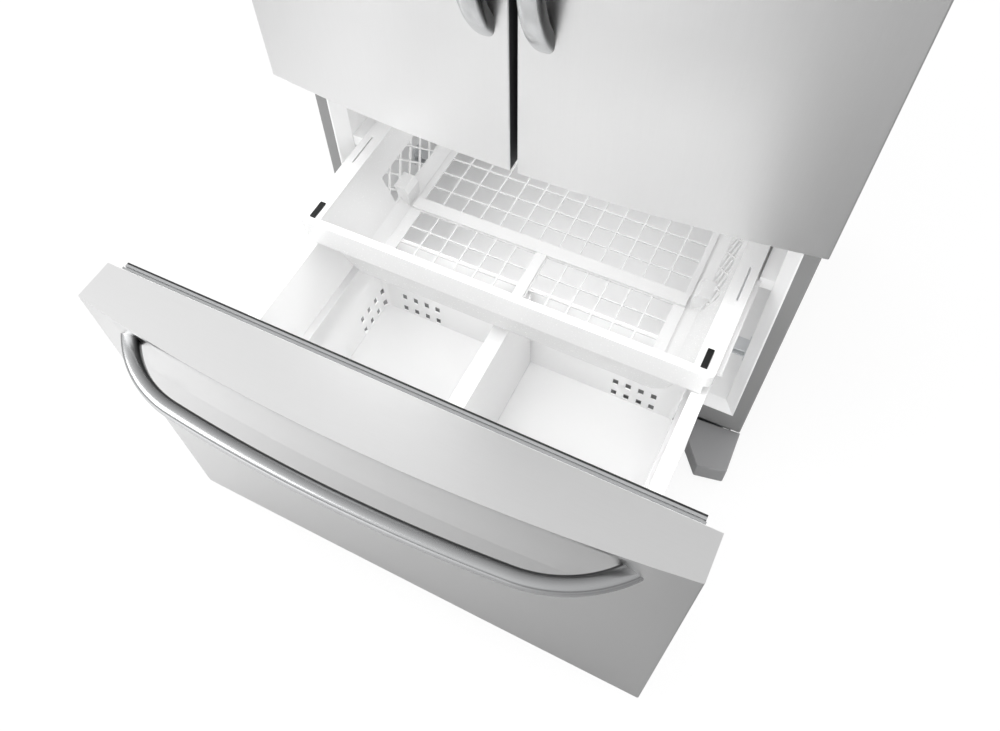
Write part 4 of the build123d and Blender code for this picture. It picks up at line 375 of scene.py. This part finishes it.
# Dark paint on the facing sides of the doors: partly their own colour, partly painted shade for
# the gap.
gap_paint_and_shade = moulded("dark_grey_edge_paint_and_shade", "#3E3F41", 0.6, 1.2, 0.06, IOR=1.5)
print("dark:", door_seal_vinyl.name, black_plastic.name, black_enamel.name, gap_paint_and_shade.name)

# %% [markdown]
# Clear parts need light to pass. Crisper tubs and door bins are clear styrene, the
# shelves tempered glass with a green cast. Both get the transmission of their shader,
# and a faint noise in the roughness stands for the handling marks on a used surface.

# %% Clear plastic and glass
SMEAR_MM = 71.4
SMEAR = 0.06
LIGHT_PASSED = 0.85


def clear(name, colour, roughness, ior):
    """Transmission with a slightly uneven polish."""
    finish, tree, place = new_finish(name)
    smear = add_node(
        tree, "TexNoise", {"Scale": 1000.0 / SMEAR_MM, "Detail": 4.0}, {"Vector": place}
    )
    rough = add_node(
        tree, "MapRange", {"To Min": roughness, "To Max": roughness + SMEAR},
        {"Value": smear.outputs["Fac"]},
    )
    shader = add_node(
        tree, "BsdfPrincipled",
        {"Base Color": linear(colour), "Transmission Weight": LIGHT_PASSED, "IOR": ior},
        {"Roughness": rough.outputs[0]},
    )
    finish_with(tree, shader)
    return finish


# Injected clear styrene: cool and a little hazy.
clear_styrene = clear("clear_styrene", "#EAF3F5", 0.06, 1.59)

# Tempered glass: clearer than the tubs, and green from the iron in it.
shelf_glass = clear("tempered_shelf_glass", "#DCEFE8", 0.02, 1.52)
print("clear:", clear_styrene.name, shelf_glass.name)

# %% [markdown]
# Hot-dipped zinc freezes in crystals, so galvanised sheet shows a patchwork of slightly
# different greys, each a few millimetres across. Voronoi cells give one value per
# crystal, and that value shifts both the tone and the roughness. Rolled aluminium has
# smaller patches, so the coils use the same graph at a finer scale.

# %% Galvanised steel and bare aluminium
CRYSTAL_TONE = (0.88, 1.06)


def crystalline(name, colour, crystal_mm, low, high):
    """Voronoi cells: a random value per cell shifts tone and roughness."""
    finish, tree, place = new_finish(name)
    cells = add_node(tree, "TexVoronoi", {"Scale": 1000.0 / crystal_mm}, {"Vector": place})
    value = add_node(tree, "SeparateColor", {}, {0: cells.outputs["Color"]})
    tone = add_node(
        tree, "MapRange", {"To Min": CRYSTAL_TONE[0], "To Max": CRYSTAL_TONE[1]},
        {"Value": value.outputs[0]},
    )
    toned = add_node(
        tree, "VectorMath", {0: linear(colour)[:3]}, {"Scale": tone.outputs[0]},
        operation="SCALE",
    )
    rough = add_node(
        tree, "MapRange", {"To Min": low, "To Max": high}, {"Value": value.outputs[0]}
    )
    shader = add_node(
        tree, "BsdfPrincipled", {"Metallic": 1.0},
        {"Base Color": toned.outputs[0], "Roughness": rough.outputs[0]},
    )
    finish_with(tree, shader)
    return finish


# Hot-dipped sheet: cold grey crystals, some brighter and some duller.
galvanised = crystalline("galvanised_steel", "#B9BCBF", 7.0, 0.32, 0.5)

# Aluminium as it leaves the mill: brighter and more even.
coil_aluminium = crystalline("mill_aluminium", "#CDD0D2", 3.0, 0.3, 0.42)
print("bare metal:", galvanised.name, coil_aluminium.name)

# %% [markdown]
# Each carried-over node now takes its finish. The table goes from the finish to the
# nodes that have it, and a printed line shows any node that the table forgot.

# %% Finishes of the carried-over nodes
FINISHES = {
    door_steel: ("left_door_shell", "right_door_shell"),
    drawer_steel: ("drawer_front",),
    handle_steel: ("drawer_handle",),
    door_handle_steel: ("left_door_handle", "right_door_handle"),
    case_paint: ("case_wrapper", "mullion"),
    liner_plastic: (
        "fresh_food_liner", "freezer_liner", "left_door_liner", "right_door_liner",
        "drawer_inner_panel", "shelf_frames", "crisper_cover", "control_housing",
        "tray_rails", "evaporator_cover",
    ),
    bin_plastic: ("lower_bin", "bin_divider", "drawer_rails"),
    tray_plastic: ("upper_tray", "tray_floor_grid"),
    clear_styrene: (
        "crisper_left", "crisper_right", "left_door_bins", "right_door_bins", "lamp_lens",
    ),
    shelf_glass: ("glass_shelves",),
    galvanised: (
        "back_panel", "base_frame", "rear_cover", "door_hinges", "levelling_leg_left",
        "levelling_leg_right",
    ),
    grey_plastic: (
        "foot_covers", "toe_grille", "fan_shroud", "hinge_covers", "fridge_dial",
        "freezer_dial",
    ),
    seal_vinyl: ("drawer_gasket",),
    door_seal_vinyl: ("left_door_gasket", "right_door_gasket", "flip_mullion"),
    slide_enamel: ("drawer_slide_outer", "drawer_slide_middle", "drawer_slide_inner"),
    black_plastic: (
        "tray_latch_left", "tray_latch_right", "condenser_fan", "evaporator_fan", "drain_pan",
    ),
    coil_aluminium: ("condenser", "evaporator"),
    black_enamel: ("compressor",),
    nylon: (
        "front_roller_left", "front_roller_right", "rear_roller_left", "rear_roller_right",
    ),
}
dressed = set()
for finish, names in FINISHES.items():
    for name in names:
        mesh = frame["nodes"][name].data
        mesh.materials.clear()
        mesh.materials.append(finish)
        dressed.add(name)
print("nodes without a finish:", sorted(set(frame["nodes"]) - dressed))

# %% [markdown]
# A piece that stands for a node has to move as the node does, so it rides on the same
# body, and the node is hidden. The record says which nodes each body holds. Reading the
# body's name there is safer than typing it again for each piece.

# %% Pieces that stand for nodes
def body_of(node):
    """Name of the body that a node rides on."""
    bodies = frame["record"]["behaviour"]["bodies"]
    return next(body for body, names in bodies.items() if node in names)


def add_piece(name, mesh, node):
    """Put a mesh into the scene as a piece that stands for a node, on the node's body."""
    piece = bpy.data.objects.new(name, mesh)
    bpy.context.scene.collection.objects.link(piece)
    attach(piece, body_of(node))
    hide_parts(node)
    return piece


print("the drawer's handle rides on", body_of("drawer_handle"))

# %% [markdown]
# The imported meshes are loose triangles, and a bevel needs whole faces. So the nodes that
# show are copied, the doubled corners merged, and the triangles of each flat face made
# one. The foot covers reach back to the case. Their copy goes a few millimetres further
# under it, because the bright floor would show through the slit that is left.

# %% Joined copies
MERGE_WITHIN = 1e-5
FLAT_WITHIN = math.radians(0.4)

# Points of these nodes that lie behind the first depth in Y move back to the second.
PUSHED_BACK = {"foot_covers": (-0.0035, 0.0012)}


def joined_copy(node):
    """A node's triangles with their doubles merged and each flat face made one."""
    shape = bmesh.new()
    shape.from_mesh(frame["nodes"][node].data)
    bmesh.ops.remove_doubles(shape, verts=shape.verts, dist=MERGE_WITHIN)
    if node in PUSHED_BACK:
        behind, flush = PUSHED_BACK[node]
        for corner in shape.verts:
            if corner.co.y > behind:
                corner.co.y = flush
    bmesh.ops.dissolve_limit(
        shape, angle_limit=FLAT_WITHIN, verts=shape.verts, edges=shape.edges
    )
    mesh = bpy.data.meshes.new(node + "_soft")
    shape.to_mesh(mesh)
    shape.free()
    mesh.shade_smooth()
    mesh.materials.append(frame["nodes"][node].data.materials[0])
    return mesh


print("corners merge within", MERGE_WITHIN * 1000.0, "mm")

# %% [markdown]
# The two doors face each other across a narrow gap, which is black. The sides that look
# into it are painted dark: partly the dark grey paint of real door sides, partly painted
# shade. They are found by their place near the middle of the object and by their normal,
# which lies along X.

# %% Dark sides of the doors, partly painted shade
GAP_SIDES = ("left_door_shell", "right_door_shell")
GAP_REACH = 0.0075
SIDEWAYS = 0.9


def paint_gap_sides_and_shade(mesh):
    """Give the dark paint, partly painted shade, to the faces near x = 0 whose normal lies along
    X.
    """
    mesh.materials.append(gap_paint_and_shade)
    centres = np.empty(len(mesh.polygons) * 3)
    normals = np.empty(len(mesh.polygons) * 3)
    mesh.polygons.foreach_get("center", centres)
    mesh.polygons.foreach_get("normal", normals)
    in_gap = (np.abs(centres[::3]) < GAP_REACH) & (np.abs(normals[::3]) > SIDEWAYS)
    mesh.polygons.foreach_set("material_index", in_gap.astype(np.int32))
    print(mesh.name, int(in_gap.sum()), "faces look into the gap")


# %% [markdown]
# Folded steel and moulded plastic have no knife edges: a bend or a mould leaves a radius
# of a millimetre or so, and that radius catches the thin bright line along every edge of
# the photograph. A Bevel modifier rounds each edge that is sharper than 30 degrees, and
# weighted normals keep the broad faces flat. Sheet is bent round a die of about 1.6 mm,
# and plastic leaves its mould with half that.

# %% Rounded edges
SHEET_RADIUS_MM = 1.6
MOULD_RADIUS_MM = 0.8
SHARP_ABOVE = math.radians(30.0)
BEND_SEGMENTS = 3


def softened(node, radius_mm):
    """A joined copy of a node's mesh, its sharp edges rounded to a radius."""
    mesh = joined_copy(node)
    if node in GAP_SIDES:
        paint_gap_sides_and_shade(mesh)
    piece = add_piece(node + "_soft", mesh, node)
    bevel = piece.modifiers.new("edge_radius", "BEVEL")
    bevel.width = radius_mm / 1000.0
    bevel.segments = BEND_SEGMENTS
    bevel.limit_method = "ANGLE"
    bevel.angle_limit = SHARP_ABOVE
    bevel.use_clamp_overlap = True
    bevel.harden_normals = True
    weigh = piece.modifiers.new("flat_faces", "WEIGHTED_NORMAL")
    weigh.keep_sharp = True
    return piece


SOFT_EDGES = {
    "left_door_shell": (SHEET_RADIUS_MM, "stainless"),
    "right_door_shell": (SHEET_RADIUS_MM, "stainless"),
    "drawer_front": (SHEET_RADIUS_MM, "stainless"),
    "upper_tray": (MOULD_RADIUS_MM, "bin_plastic"),
    "lower_bin": (MOULD_RADIUS_MM, "bin_plastic"),
    "bin_divider": (MOULD_RADIUS_MM, "bin_plastic"),
    "case_wrapper": (MOULD_RADIUS_MM, "case_paint"),
    "foot_covers": (MOULD_RADIUS_MM, "grey_plastic"),
    "hinge_covers": (MOULD_RADIUS_MM, "grey_plastic"),
}
for node, (radius_mm, slot_name) in SOFT_EDGES.items():
    piece = softened(node, radius_mm)
    print(piece.name, len(piece.data.polygons), "faces before the bevel")

# %% [markdown]
# A pull handle of this kind is a flat bar that is bent, ground and polished until its
# corners are round. Its outline is a shallow arc that runs into a tighter arc at each
# foot, and it grows thicker there. Two such lines, one for the outside of the bar and
# one for the side turned to the door, say all of this with a few radii.

# %% Outline of a handle
FOOT_RADIUS_MM = 206.0
FOOT_SWEEP = math.radians(52.0)
STATIONS = 60


def bow_line(bend, shoulder, crown, foot_radius):
    """Outline of one side of the bar, as (along, out) in mm, from foot to foot.

    The middle is an arc of radius R = (bend^2 + rise^2) / (2 rise), so along is R sin a
    and out is crown - R (1 - cos a). The foot goes on from the arc's last angle A:
    along = bend + F (sin(A + b) - sin A), out = shoulder - F (cos A - cos(A + b)).
    """
    rise = crown - shoulder
    radius = (bend**2 + rise**2) / (2.0 * rise)
    last = math.asin(bend / radius)
    a = np.linspace(0.0, last, STATIONS)
    b = np.linspace(0.0, FOOT_SWEEP, STATIONS)[1:]
    along = np.concatenate(
        [radius * np.sin(a), bend + foot_radius * (np.sin(last + b) - math.sin(last))]
    )
    out = np.concatenate(
        [
            crown - radius * (1.0 - np.cos(a)),
            shoulder - foot_radius * (math.cos(last) - np.cos(last + b)),
        ]
    )
    line = np.stack([along, out], axis=1)
    mirrored = line[:0:-1] * np.array([-1.0, 1.0])
    return np.concatenate([mirrored, line])


print("a handle has", 4 * STATIONS - 3, "stations from foot to foot")

# %% [markdown]
# The section of the bar is a superellipse: a rectangle whose corners have been rounded
# until only the middle of each side is flat. Painted shade darkens its colour: not at all
# on the outside, most on the side turned to the door, and on the upright bars the flanks
# too. This makes a band that runs from black at the door to a bright outer line.

# %% Section of a handle and its painted shade
SECTION_ROUNDNESS = 3.0
SECTION_POINTS = 56
SHADE_AT = (-1.0, -0.75, -0.35, 0.2, 0.7, 1.0)
FLANK_AT = (0.8, 0.97)


def superellipse():
    """Points c (outwards) and s (across) with |c|^n + |s|^n = 1, n being the roundness.

    The angle t gives c = sign(cos t) |cos t|^(2/n), and s is the same with the sine.
    """
    t = np.linspace(0.0, 2.0 * np.pi, SECTION_POINTS, endpoint=False)
    power = 2.0 / SECTION_ROUNDNESS
    c = np.sign(np.cos(t)) * np.abs(np.cos(t)) ** power
    s = np.sign(np.sin(t)) * np.abs(np.sin(t)) ** power
    return c, s


def painted_shade_across(profile, flank_share):
    """Painted shade at each point of the section: the profile read at c, from -1 at the door.

    On the flanks, where s comes near 1 or -1, it falls to the given share.
    """
    c, s = superellipse()
    on_flank = np.interp(np.abs(s), FLANK_AT, (1.0, flank_share))
    return np.interp(c, SHADE_AT, profile) * on_flank


print("a section has", SECTION_POINTS, "points")

# %% [markdown]
# Each station sets the section between the two outlines, so the bar grows thick at its
# feet by itself. Neighbouring rings are joined by four-sided faces and the ends closed
# with caps. One unbroken surface lets reflections flow along the bar as they do on the
# real one.

# %% Surface of a handle
def across(along_axis):
    """The axis across a bar that runs along X or along Z."""
    return ALONG_Z if along_axis == ALONG_X else ALONG_X


def bar_points(outer, inner, width_mm, place, along_axis):
    """Rings of points in metres: centre + reach * c in the outline's plane, s across it.

    The centre is halfway between the outlines, and the reach is half their distance.
    """
    c, s = superellipse()
    centre = (outer + inner) / 2.0
    reach = (outer - inner) / 2.0
    ring = centre[:, None, :] + reach[:, None, :] * c[None, :, None]
    points = np.zeros((len(centre), SECTION_POINTS, 3))
    points[:, :, along_axis] = ring[:, :, 0]
    points[:, :, 1] = -ring[:, :, 1]
    points[:, :, across(along_axis)] = (width_mm / 2.0) * s[None, :]
    return points / 1000.0 + np.array(place)


def bar_faces(count):
    """Faces of four corners, two on each ring and two on the next, and a cap at each end."""
    row = np.arange(count - 1)[:, None] * SECTION_POINTS
    next_row = row + SECTION_POINTS
    column = np.arange(SECTION_POINTS)[None, :]
    following = (column + 1) % SECTION_POINTS
    quads = np.stack(
        [row + column, row + following, next_row + following, next_row + column], axis=-1
    ).reshape(-1, 4)
    first_cap = np.arange(SECTION_POINTS)
    last_cap = first_cap + (count - 1) * SECTION_POINTS
    return quads.tolist() + [first_cap.tolist(), last_cap.tolist()]


def bar_mesh(name, points, finish, shade_profile):
    """The bar's mesh with its normals outwards, its finish and its attribute of painted shade."""
    mesh = bpy.data.meshes.new(name)
    mesh.from_pydata(points.reshape(-1, 3).tolist(), [], bar_faces(len(points)))
    shape = bmesh.new()
    shape.from_mesh(mesh)
    bmesh.ops.recalc_face_normals(shape, faces=shape.faces)
    shape.to_mesh(mesh)
    shape.free()
    mesh.shade_smooth()
    # Painted shade, one value per point, by which the steel's colour is multiplied.
    painted_shade = mesh.attributes.new(SHADE_ATTRIBUTE, "FLOAT", "POINT")
    painted_shade.data.foreach_set("value", np.tile(painted_shade_across(*shade_profile), len(points)))
    mesh.materials.append(finish)
    return mesh


print("a bar has", (4 * STATIONS - 4) * SECTION_POINTS + 2, "faces")

# %% [markdown]
# The bars stand where their nodes stand: the front, the middle and the width of each
# come from the node's box. The drawer's bar reaches out furthest and is bowed most. The
# upright bars get painted shade on their flanks too, beside the gap.

# %% The three handles
FOOT_FLARE_MM = 15.5
# Painted shade across the section, from the door outwards, and the share left on the flanks.
WIDE_PAINTED_SHADE = ((0.05, 0.12, 0.38, 0.7, 1.0, 1.0), 1.0)
NARROW_PAINTED_SHADE = ((0.04, 0.07, 0.16, 0.34, 0.8, 1.0), 0.22)

# Bend, shoulder, crown and depth in mm, then the bar's axis, its steel and its painted shade.
BARS = {
    "drawer_handle": (250.0, 84.0, 96.0, 23.5, ALONG_X, handle_steel, WIDE_PAINTED_SHADE),
    "left_door_handle": (223.0, 54.0, 62.0, 26.0, ALONG_Z, door_handle_steel, NARROW_PAINTED_SHADE),
    "right_door_handle": (223.0, 54.0, 62.0, 26.0, ALONG_Z, door_handle_steel, NARROW_PAINTED_SHADE),
}
for node, (bend, shoulder, crown, depth, along_axis, finish, shade_profile) in BARS.items():
    low, high = (np.array(corner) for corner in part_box(node))
    place = (low + high) / 2.0
    place[1] = low[1] + crown / 1000.0
    width_mm = (high - low)[across(along_axis)] * 1000.0
    outer = bow_line(bend, shoulder, crown, FOOT_RADIUS_MM)
    inner_foot = FOOT_RADIUS_MM - depth - FOOT_FLARE_MM
    inner = bow_line(bend, shoulder - depth, crown - depth, inner_foot)
    points = bar_points(outer, inner, width_mm, place, along_axis)
    mesh = bar_mesh(node + "_bar", points, finish, shade_profile)
    add_piece(node + "_bar", mesh, node)
    print(node, len(mesh.polygons), "faces, width", round(width_mm, 1), "mm")

# %% [markdown]
# The photograph was taken in a white studio. A large soft lamp stands high on the left,
# and it is the only one that steel mirrors, so the steel is bright on its left and grey
# on its right. A weaker lamp in front and one overhead fill the shadows. Three small
# ones stand for the light that white walls throw about: below the tray's mesh, above it
# in the freezer, and back from the doors into the bin.

# %% Lamps
# Place, the point aimed at, size in metres, watts, and whether steel mirrors it.
LAMPS = {
    "high_left_softbox": ((-2.8, -2.0, 3.2), (-0.2, -0.4, 0.5), (2.6, 2.6), 50.0, True),
    "front_softbox": ((0.5, -3.0, 3.0), (0.0, -0.2, 0.4), (2.4, 1.6), 17.0, False),
    "overhead_softbox": ((-0.1, -0.75, 3.2), (0.0, -0.4, 0.4), (1.6, 1.2), 27.0, False),
    "under_tray_light": ((0.0, 0.14, 0.362), (0.0, 0.142, 0.0), (0.6, 0.5), 0.58, False),
    "freezer_lamp": ((0.0, 0.15, 0.62), (0.0, 0.1, 0.3), (0.6, 0.25), 0.55, False),
    "door_bounce": ((0.0, -0.12, 0.69), (0.0, -0.48, 0.5), (0.7, 0.1), 0.85, False),
}


def softbox(name, place, aim, size, watts, in_reflections):
    """An area lamp at a place, turned towards a point; steel mirrors it only if asked."""
    lamp = bpy.data.lights.new(name, "AREA")
    lamp.shape = "RECTANGLE"
    lamp.size, lamp.size_y = size
    lamp.energy = watts
    holder = bpy.data.objects.new(name, lamp)
    away = np.array(place) - np.array(aim)
    away = away / np.linalg.norm(away)
    side = np.cross([0.0, 0.0, 1.0], away)
    side = side / np.linalg.norm(side)
    holder.matrix_world = placed(side, np.cross(away, side), away, place)
    holder.visible_camera = False
    holder.visible_glossy = in_reflections
    bpy.context.scene.collection.objects.link(holder)


for name, (place, aim, size, watts, in_reflections) in LAMPS.items():
    softbox(name, place, aim, size, watts, in_reflections)
    print(name, watts, "W")

# %% [markdown]
# The world is white to the camera and through glass. In reflections it has walls: they
# grow brighter with height and darker towards the right, which gives brushed steel its
# slow change of tone. On the object itself it is an even fill. Light Path tells these
# rays apart, so one world can be all three.

# %% White studio
WHITE = linear("#FFFFFF")
FILL_STRENGTH = 1.2
WALL_BY_HEIGHT = {"From Min": 0.0, "From Max": 0.6, "To Min": 0.3, "To Max": 0.86}
WALL_BY_SIDE = {"From Min": -0.6, "From Max": 0.8, "To Min": 1.05, "To Max": 0.5}

world = bpy.data.worlds.new("studio_white")
bpy.context.scene.world = world
world.use_nodes = True
sky = world.node_tree
sky.nodes.clear()
path = add_node(sky, "LightPath")
direct = add_node(
    sky, "Math", {}, {0: path.outputs["Is Camera Ray"], 1: path.outputs["Is Transmission Ray"]},
    operation="MAXIMUM",
)
towards = add_node(sky, "TexCoord")
axes = add_node(sky, "SeparateXYZ", {}, {0: towards.outputs["Generated"]})
by_height = add_node(sky, "MapRange", WALL_BY_HEIGHT, {"Value": axes.outputs["Z"]})
by_side = add_node(sky, "MapRange", WALL_BY_SIDE, {"Value": axes.outputs["X"]})
walls = add_node(
    sky, "Math", {}, {0: by_height.outputs[0], 1: by_side.outputs[0]}, operation="MULTIPLY"
)
fill = add_node(sky, "Background", {"Color": WHITE, "Strength": FILL_STRENGTH})
white = add_node(sky, "Background", {"Color": WHITE, "Strength": 1.0})
mirrored = add_node(sky, "Background", {"Color": WHITE}, {"Strength": walls.outputs[0]})
glossy_or_fill = add_node(
    sky, "MixShader", {},
    {0: path.outputs["Is Glossy Ray"], 1: fill.outputs[0], 2: mirrored.outputs[0]},
)
mixed = add_node(
    sky, "MixShader", {},
    {0: direct.outputs[0], 1: glossy_or_fill.outputs[0], 2: white.outputs[0]},
)
sky_out = add_node(sky, "OutputWorld")
sky.links.new(mixed.outputs[0], sky_out.inputs["Surface"])
print("world of", len(sky.nodes), "nodes")

# %% [markdown]
# The floor is a plain pale plane just at the feet, large enough that its edge is never
# in view.

# %% Floor
FLOOR_REACH = 12.0

corners = np.array([[-1, -1, 0], [1, -1, 0], [1, 1, 0], [-1, 1, 0]]) * FLOOR_REACH
floor_mesh = bpy.data.meshes.new("studio_floor")
floor_mesh.from_pydata(corners.tolist(), [], [(0, 1, 2, 3)])
floor = bpy.data.objects.new("studio_floor", floor_mesh)
bpy.context.scene.collection.objects.link(floor)
print("floor", 2.0 * FLOOR_REACH, "m wide")

# %% [markdown]
# Studio paper keeps a trace of the object's shadow. To the camera and through glass it
# is mostly a white emission, and the rest is a diffuse white that catches the shadow.
# Steel mirrors the floor in front of it. There the paper's colour carries painted light:
# it falls off from the lamp's side to the right, grows brighter towards the front, and
# darkens again far out on the left.

# %% Paper of the floor
PAPER_CLOUD_MM = 333.3
PAPER_TONE = {"To Min": 0.86, "To Max": 0.9}
TONE_BY_SIDE = {"From Min": -0.9, "From Max": 0.7, "To Min": 0.68, "To Max": 0.22}
TONE_IN_FRONT = {"From Min": -1.5, "From Max": -1.0, "To Min": 1.38, "To Max": 1.0}
TONE_FAR_LEFT = {"From Min": -2.2, "From Max": -0.9, "To Min": 0.45, "To Max": 1.0}
GLOW_SHARE = 0.88

paper, tree, place = new_finish("studio_paper")
cloud = add_node(
    tree, "TexNoise", {"Scale": 1000.0 / PAPER_CLOUD_MM, "Detail": 2.0}, {"Vector": place}
)
tone = add_node(tree, "MapRange", PAPER_TONE, {"Value": cloud.outputs[0]})
axes = add_node(tree, "SeparateXYZ", {}, {0: place})
# Painted light on the paper, for reflections only: a falloff by side, towards the front and far
# left.
by_side = add_node(tree, "MapRange", TONE_BY_SIDE, {"Value": axes.outputs["X"]})
in_front = add_node(tree, "MapRange", TONE_IN_FRONT, {"Value": axes.outputs["Y"]})
far_left = add_node(tree, "MapRange", TONE_FAR_LEFT, {"Value": axes.outputs["X"]})
by_place = add_node(
    tree, "Math", {}, {0: by_side.outputs[0], 1: in_front.outputs[0]}, operation="MULTIPLY"
)
painted_light_falloff = add_node(
    tree, "Math", {}, {0: by_place.outputs[0], 1: far_left.outputs[0]}, operation="MULTIPLY"
)
path = add_node(tree, "LightPath")
dimmed = add_node(
    tree, "Mix", {"A": 1.0}, {"Factor": path.outputs["Is Glossy Ray"], "B": painted_light_falloff.outputs[0]}
)
paper_tone = add_node(
    tree, "Math", {}, {0: tone.outputs[0], 1: dimmed.outputs[0]}, operation="MULTIPLY"
)
diffuse = add_node(tree, "BsdfDiffuse", {}, {"Color": paper_tone.outputs[0]})
glow = add_node(tree, "Emission", {"Color": WHITE, "Strength": 1.0})
seen = add_node(
    tree, "Math", {}, {0: path.outputs["Is Camera Ray"], 1: path.outputs["Is Transmission Ray"]},
    operation="MAXIMUM",
)
share = add_node(tree, "Math", {1: GLOW_SHARE}, {0: seen.outputs[0]}, operation="MULTIPLY")
paper_mix = add_node(
    tree, "MixShader", {}, {0: share.outputs[0], 1: diffuse.outputs[0], 2: glow.outputs[0]}
)
finish_with(tree, paper_mix)
floor_mesh.materials.append(paper)
print("paper of", len(tree.nodes), "nodes")

# %% [markdown]

# %% The end
import json
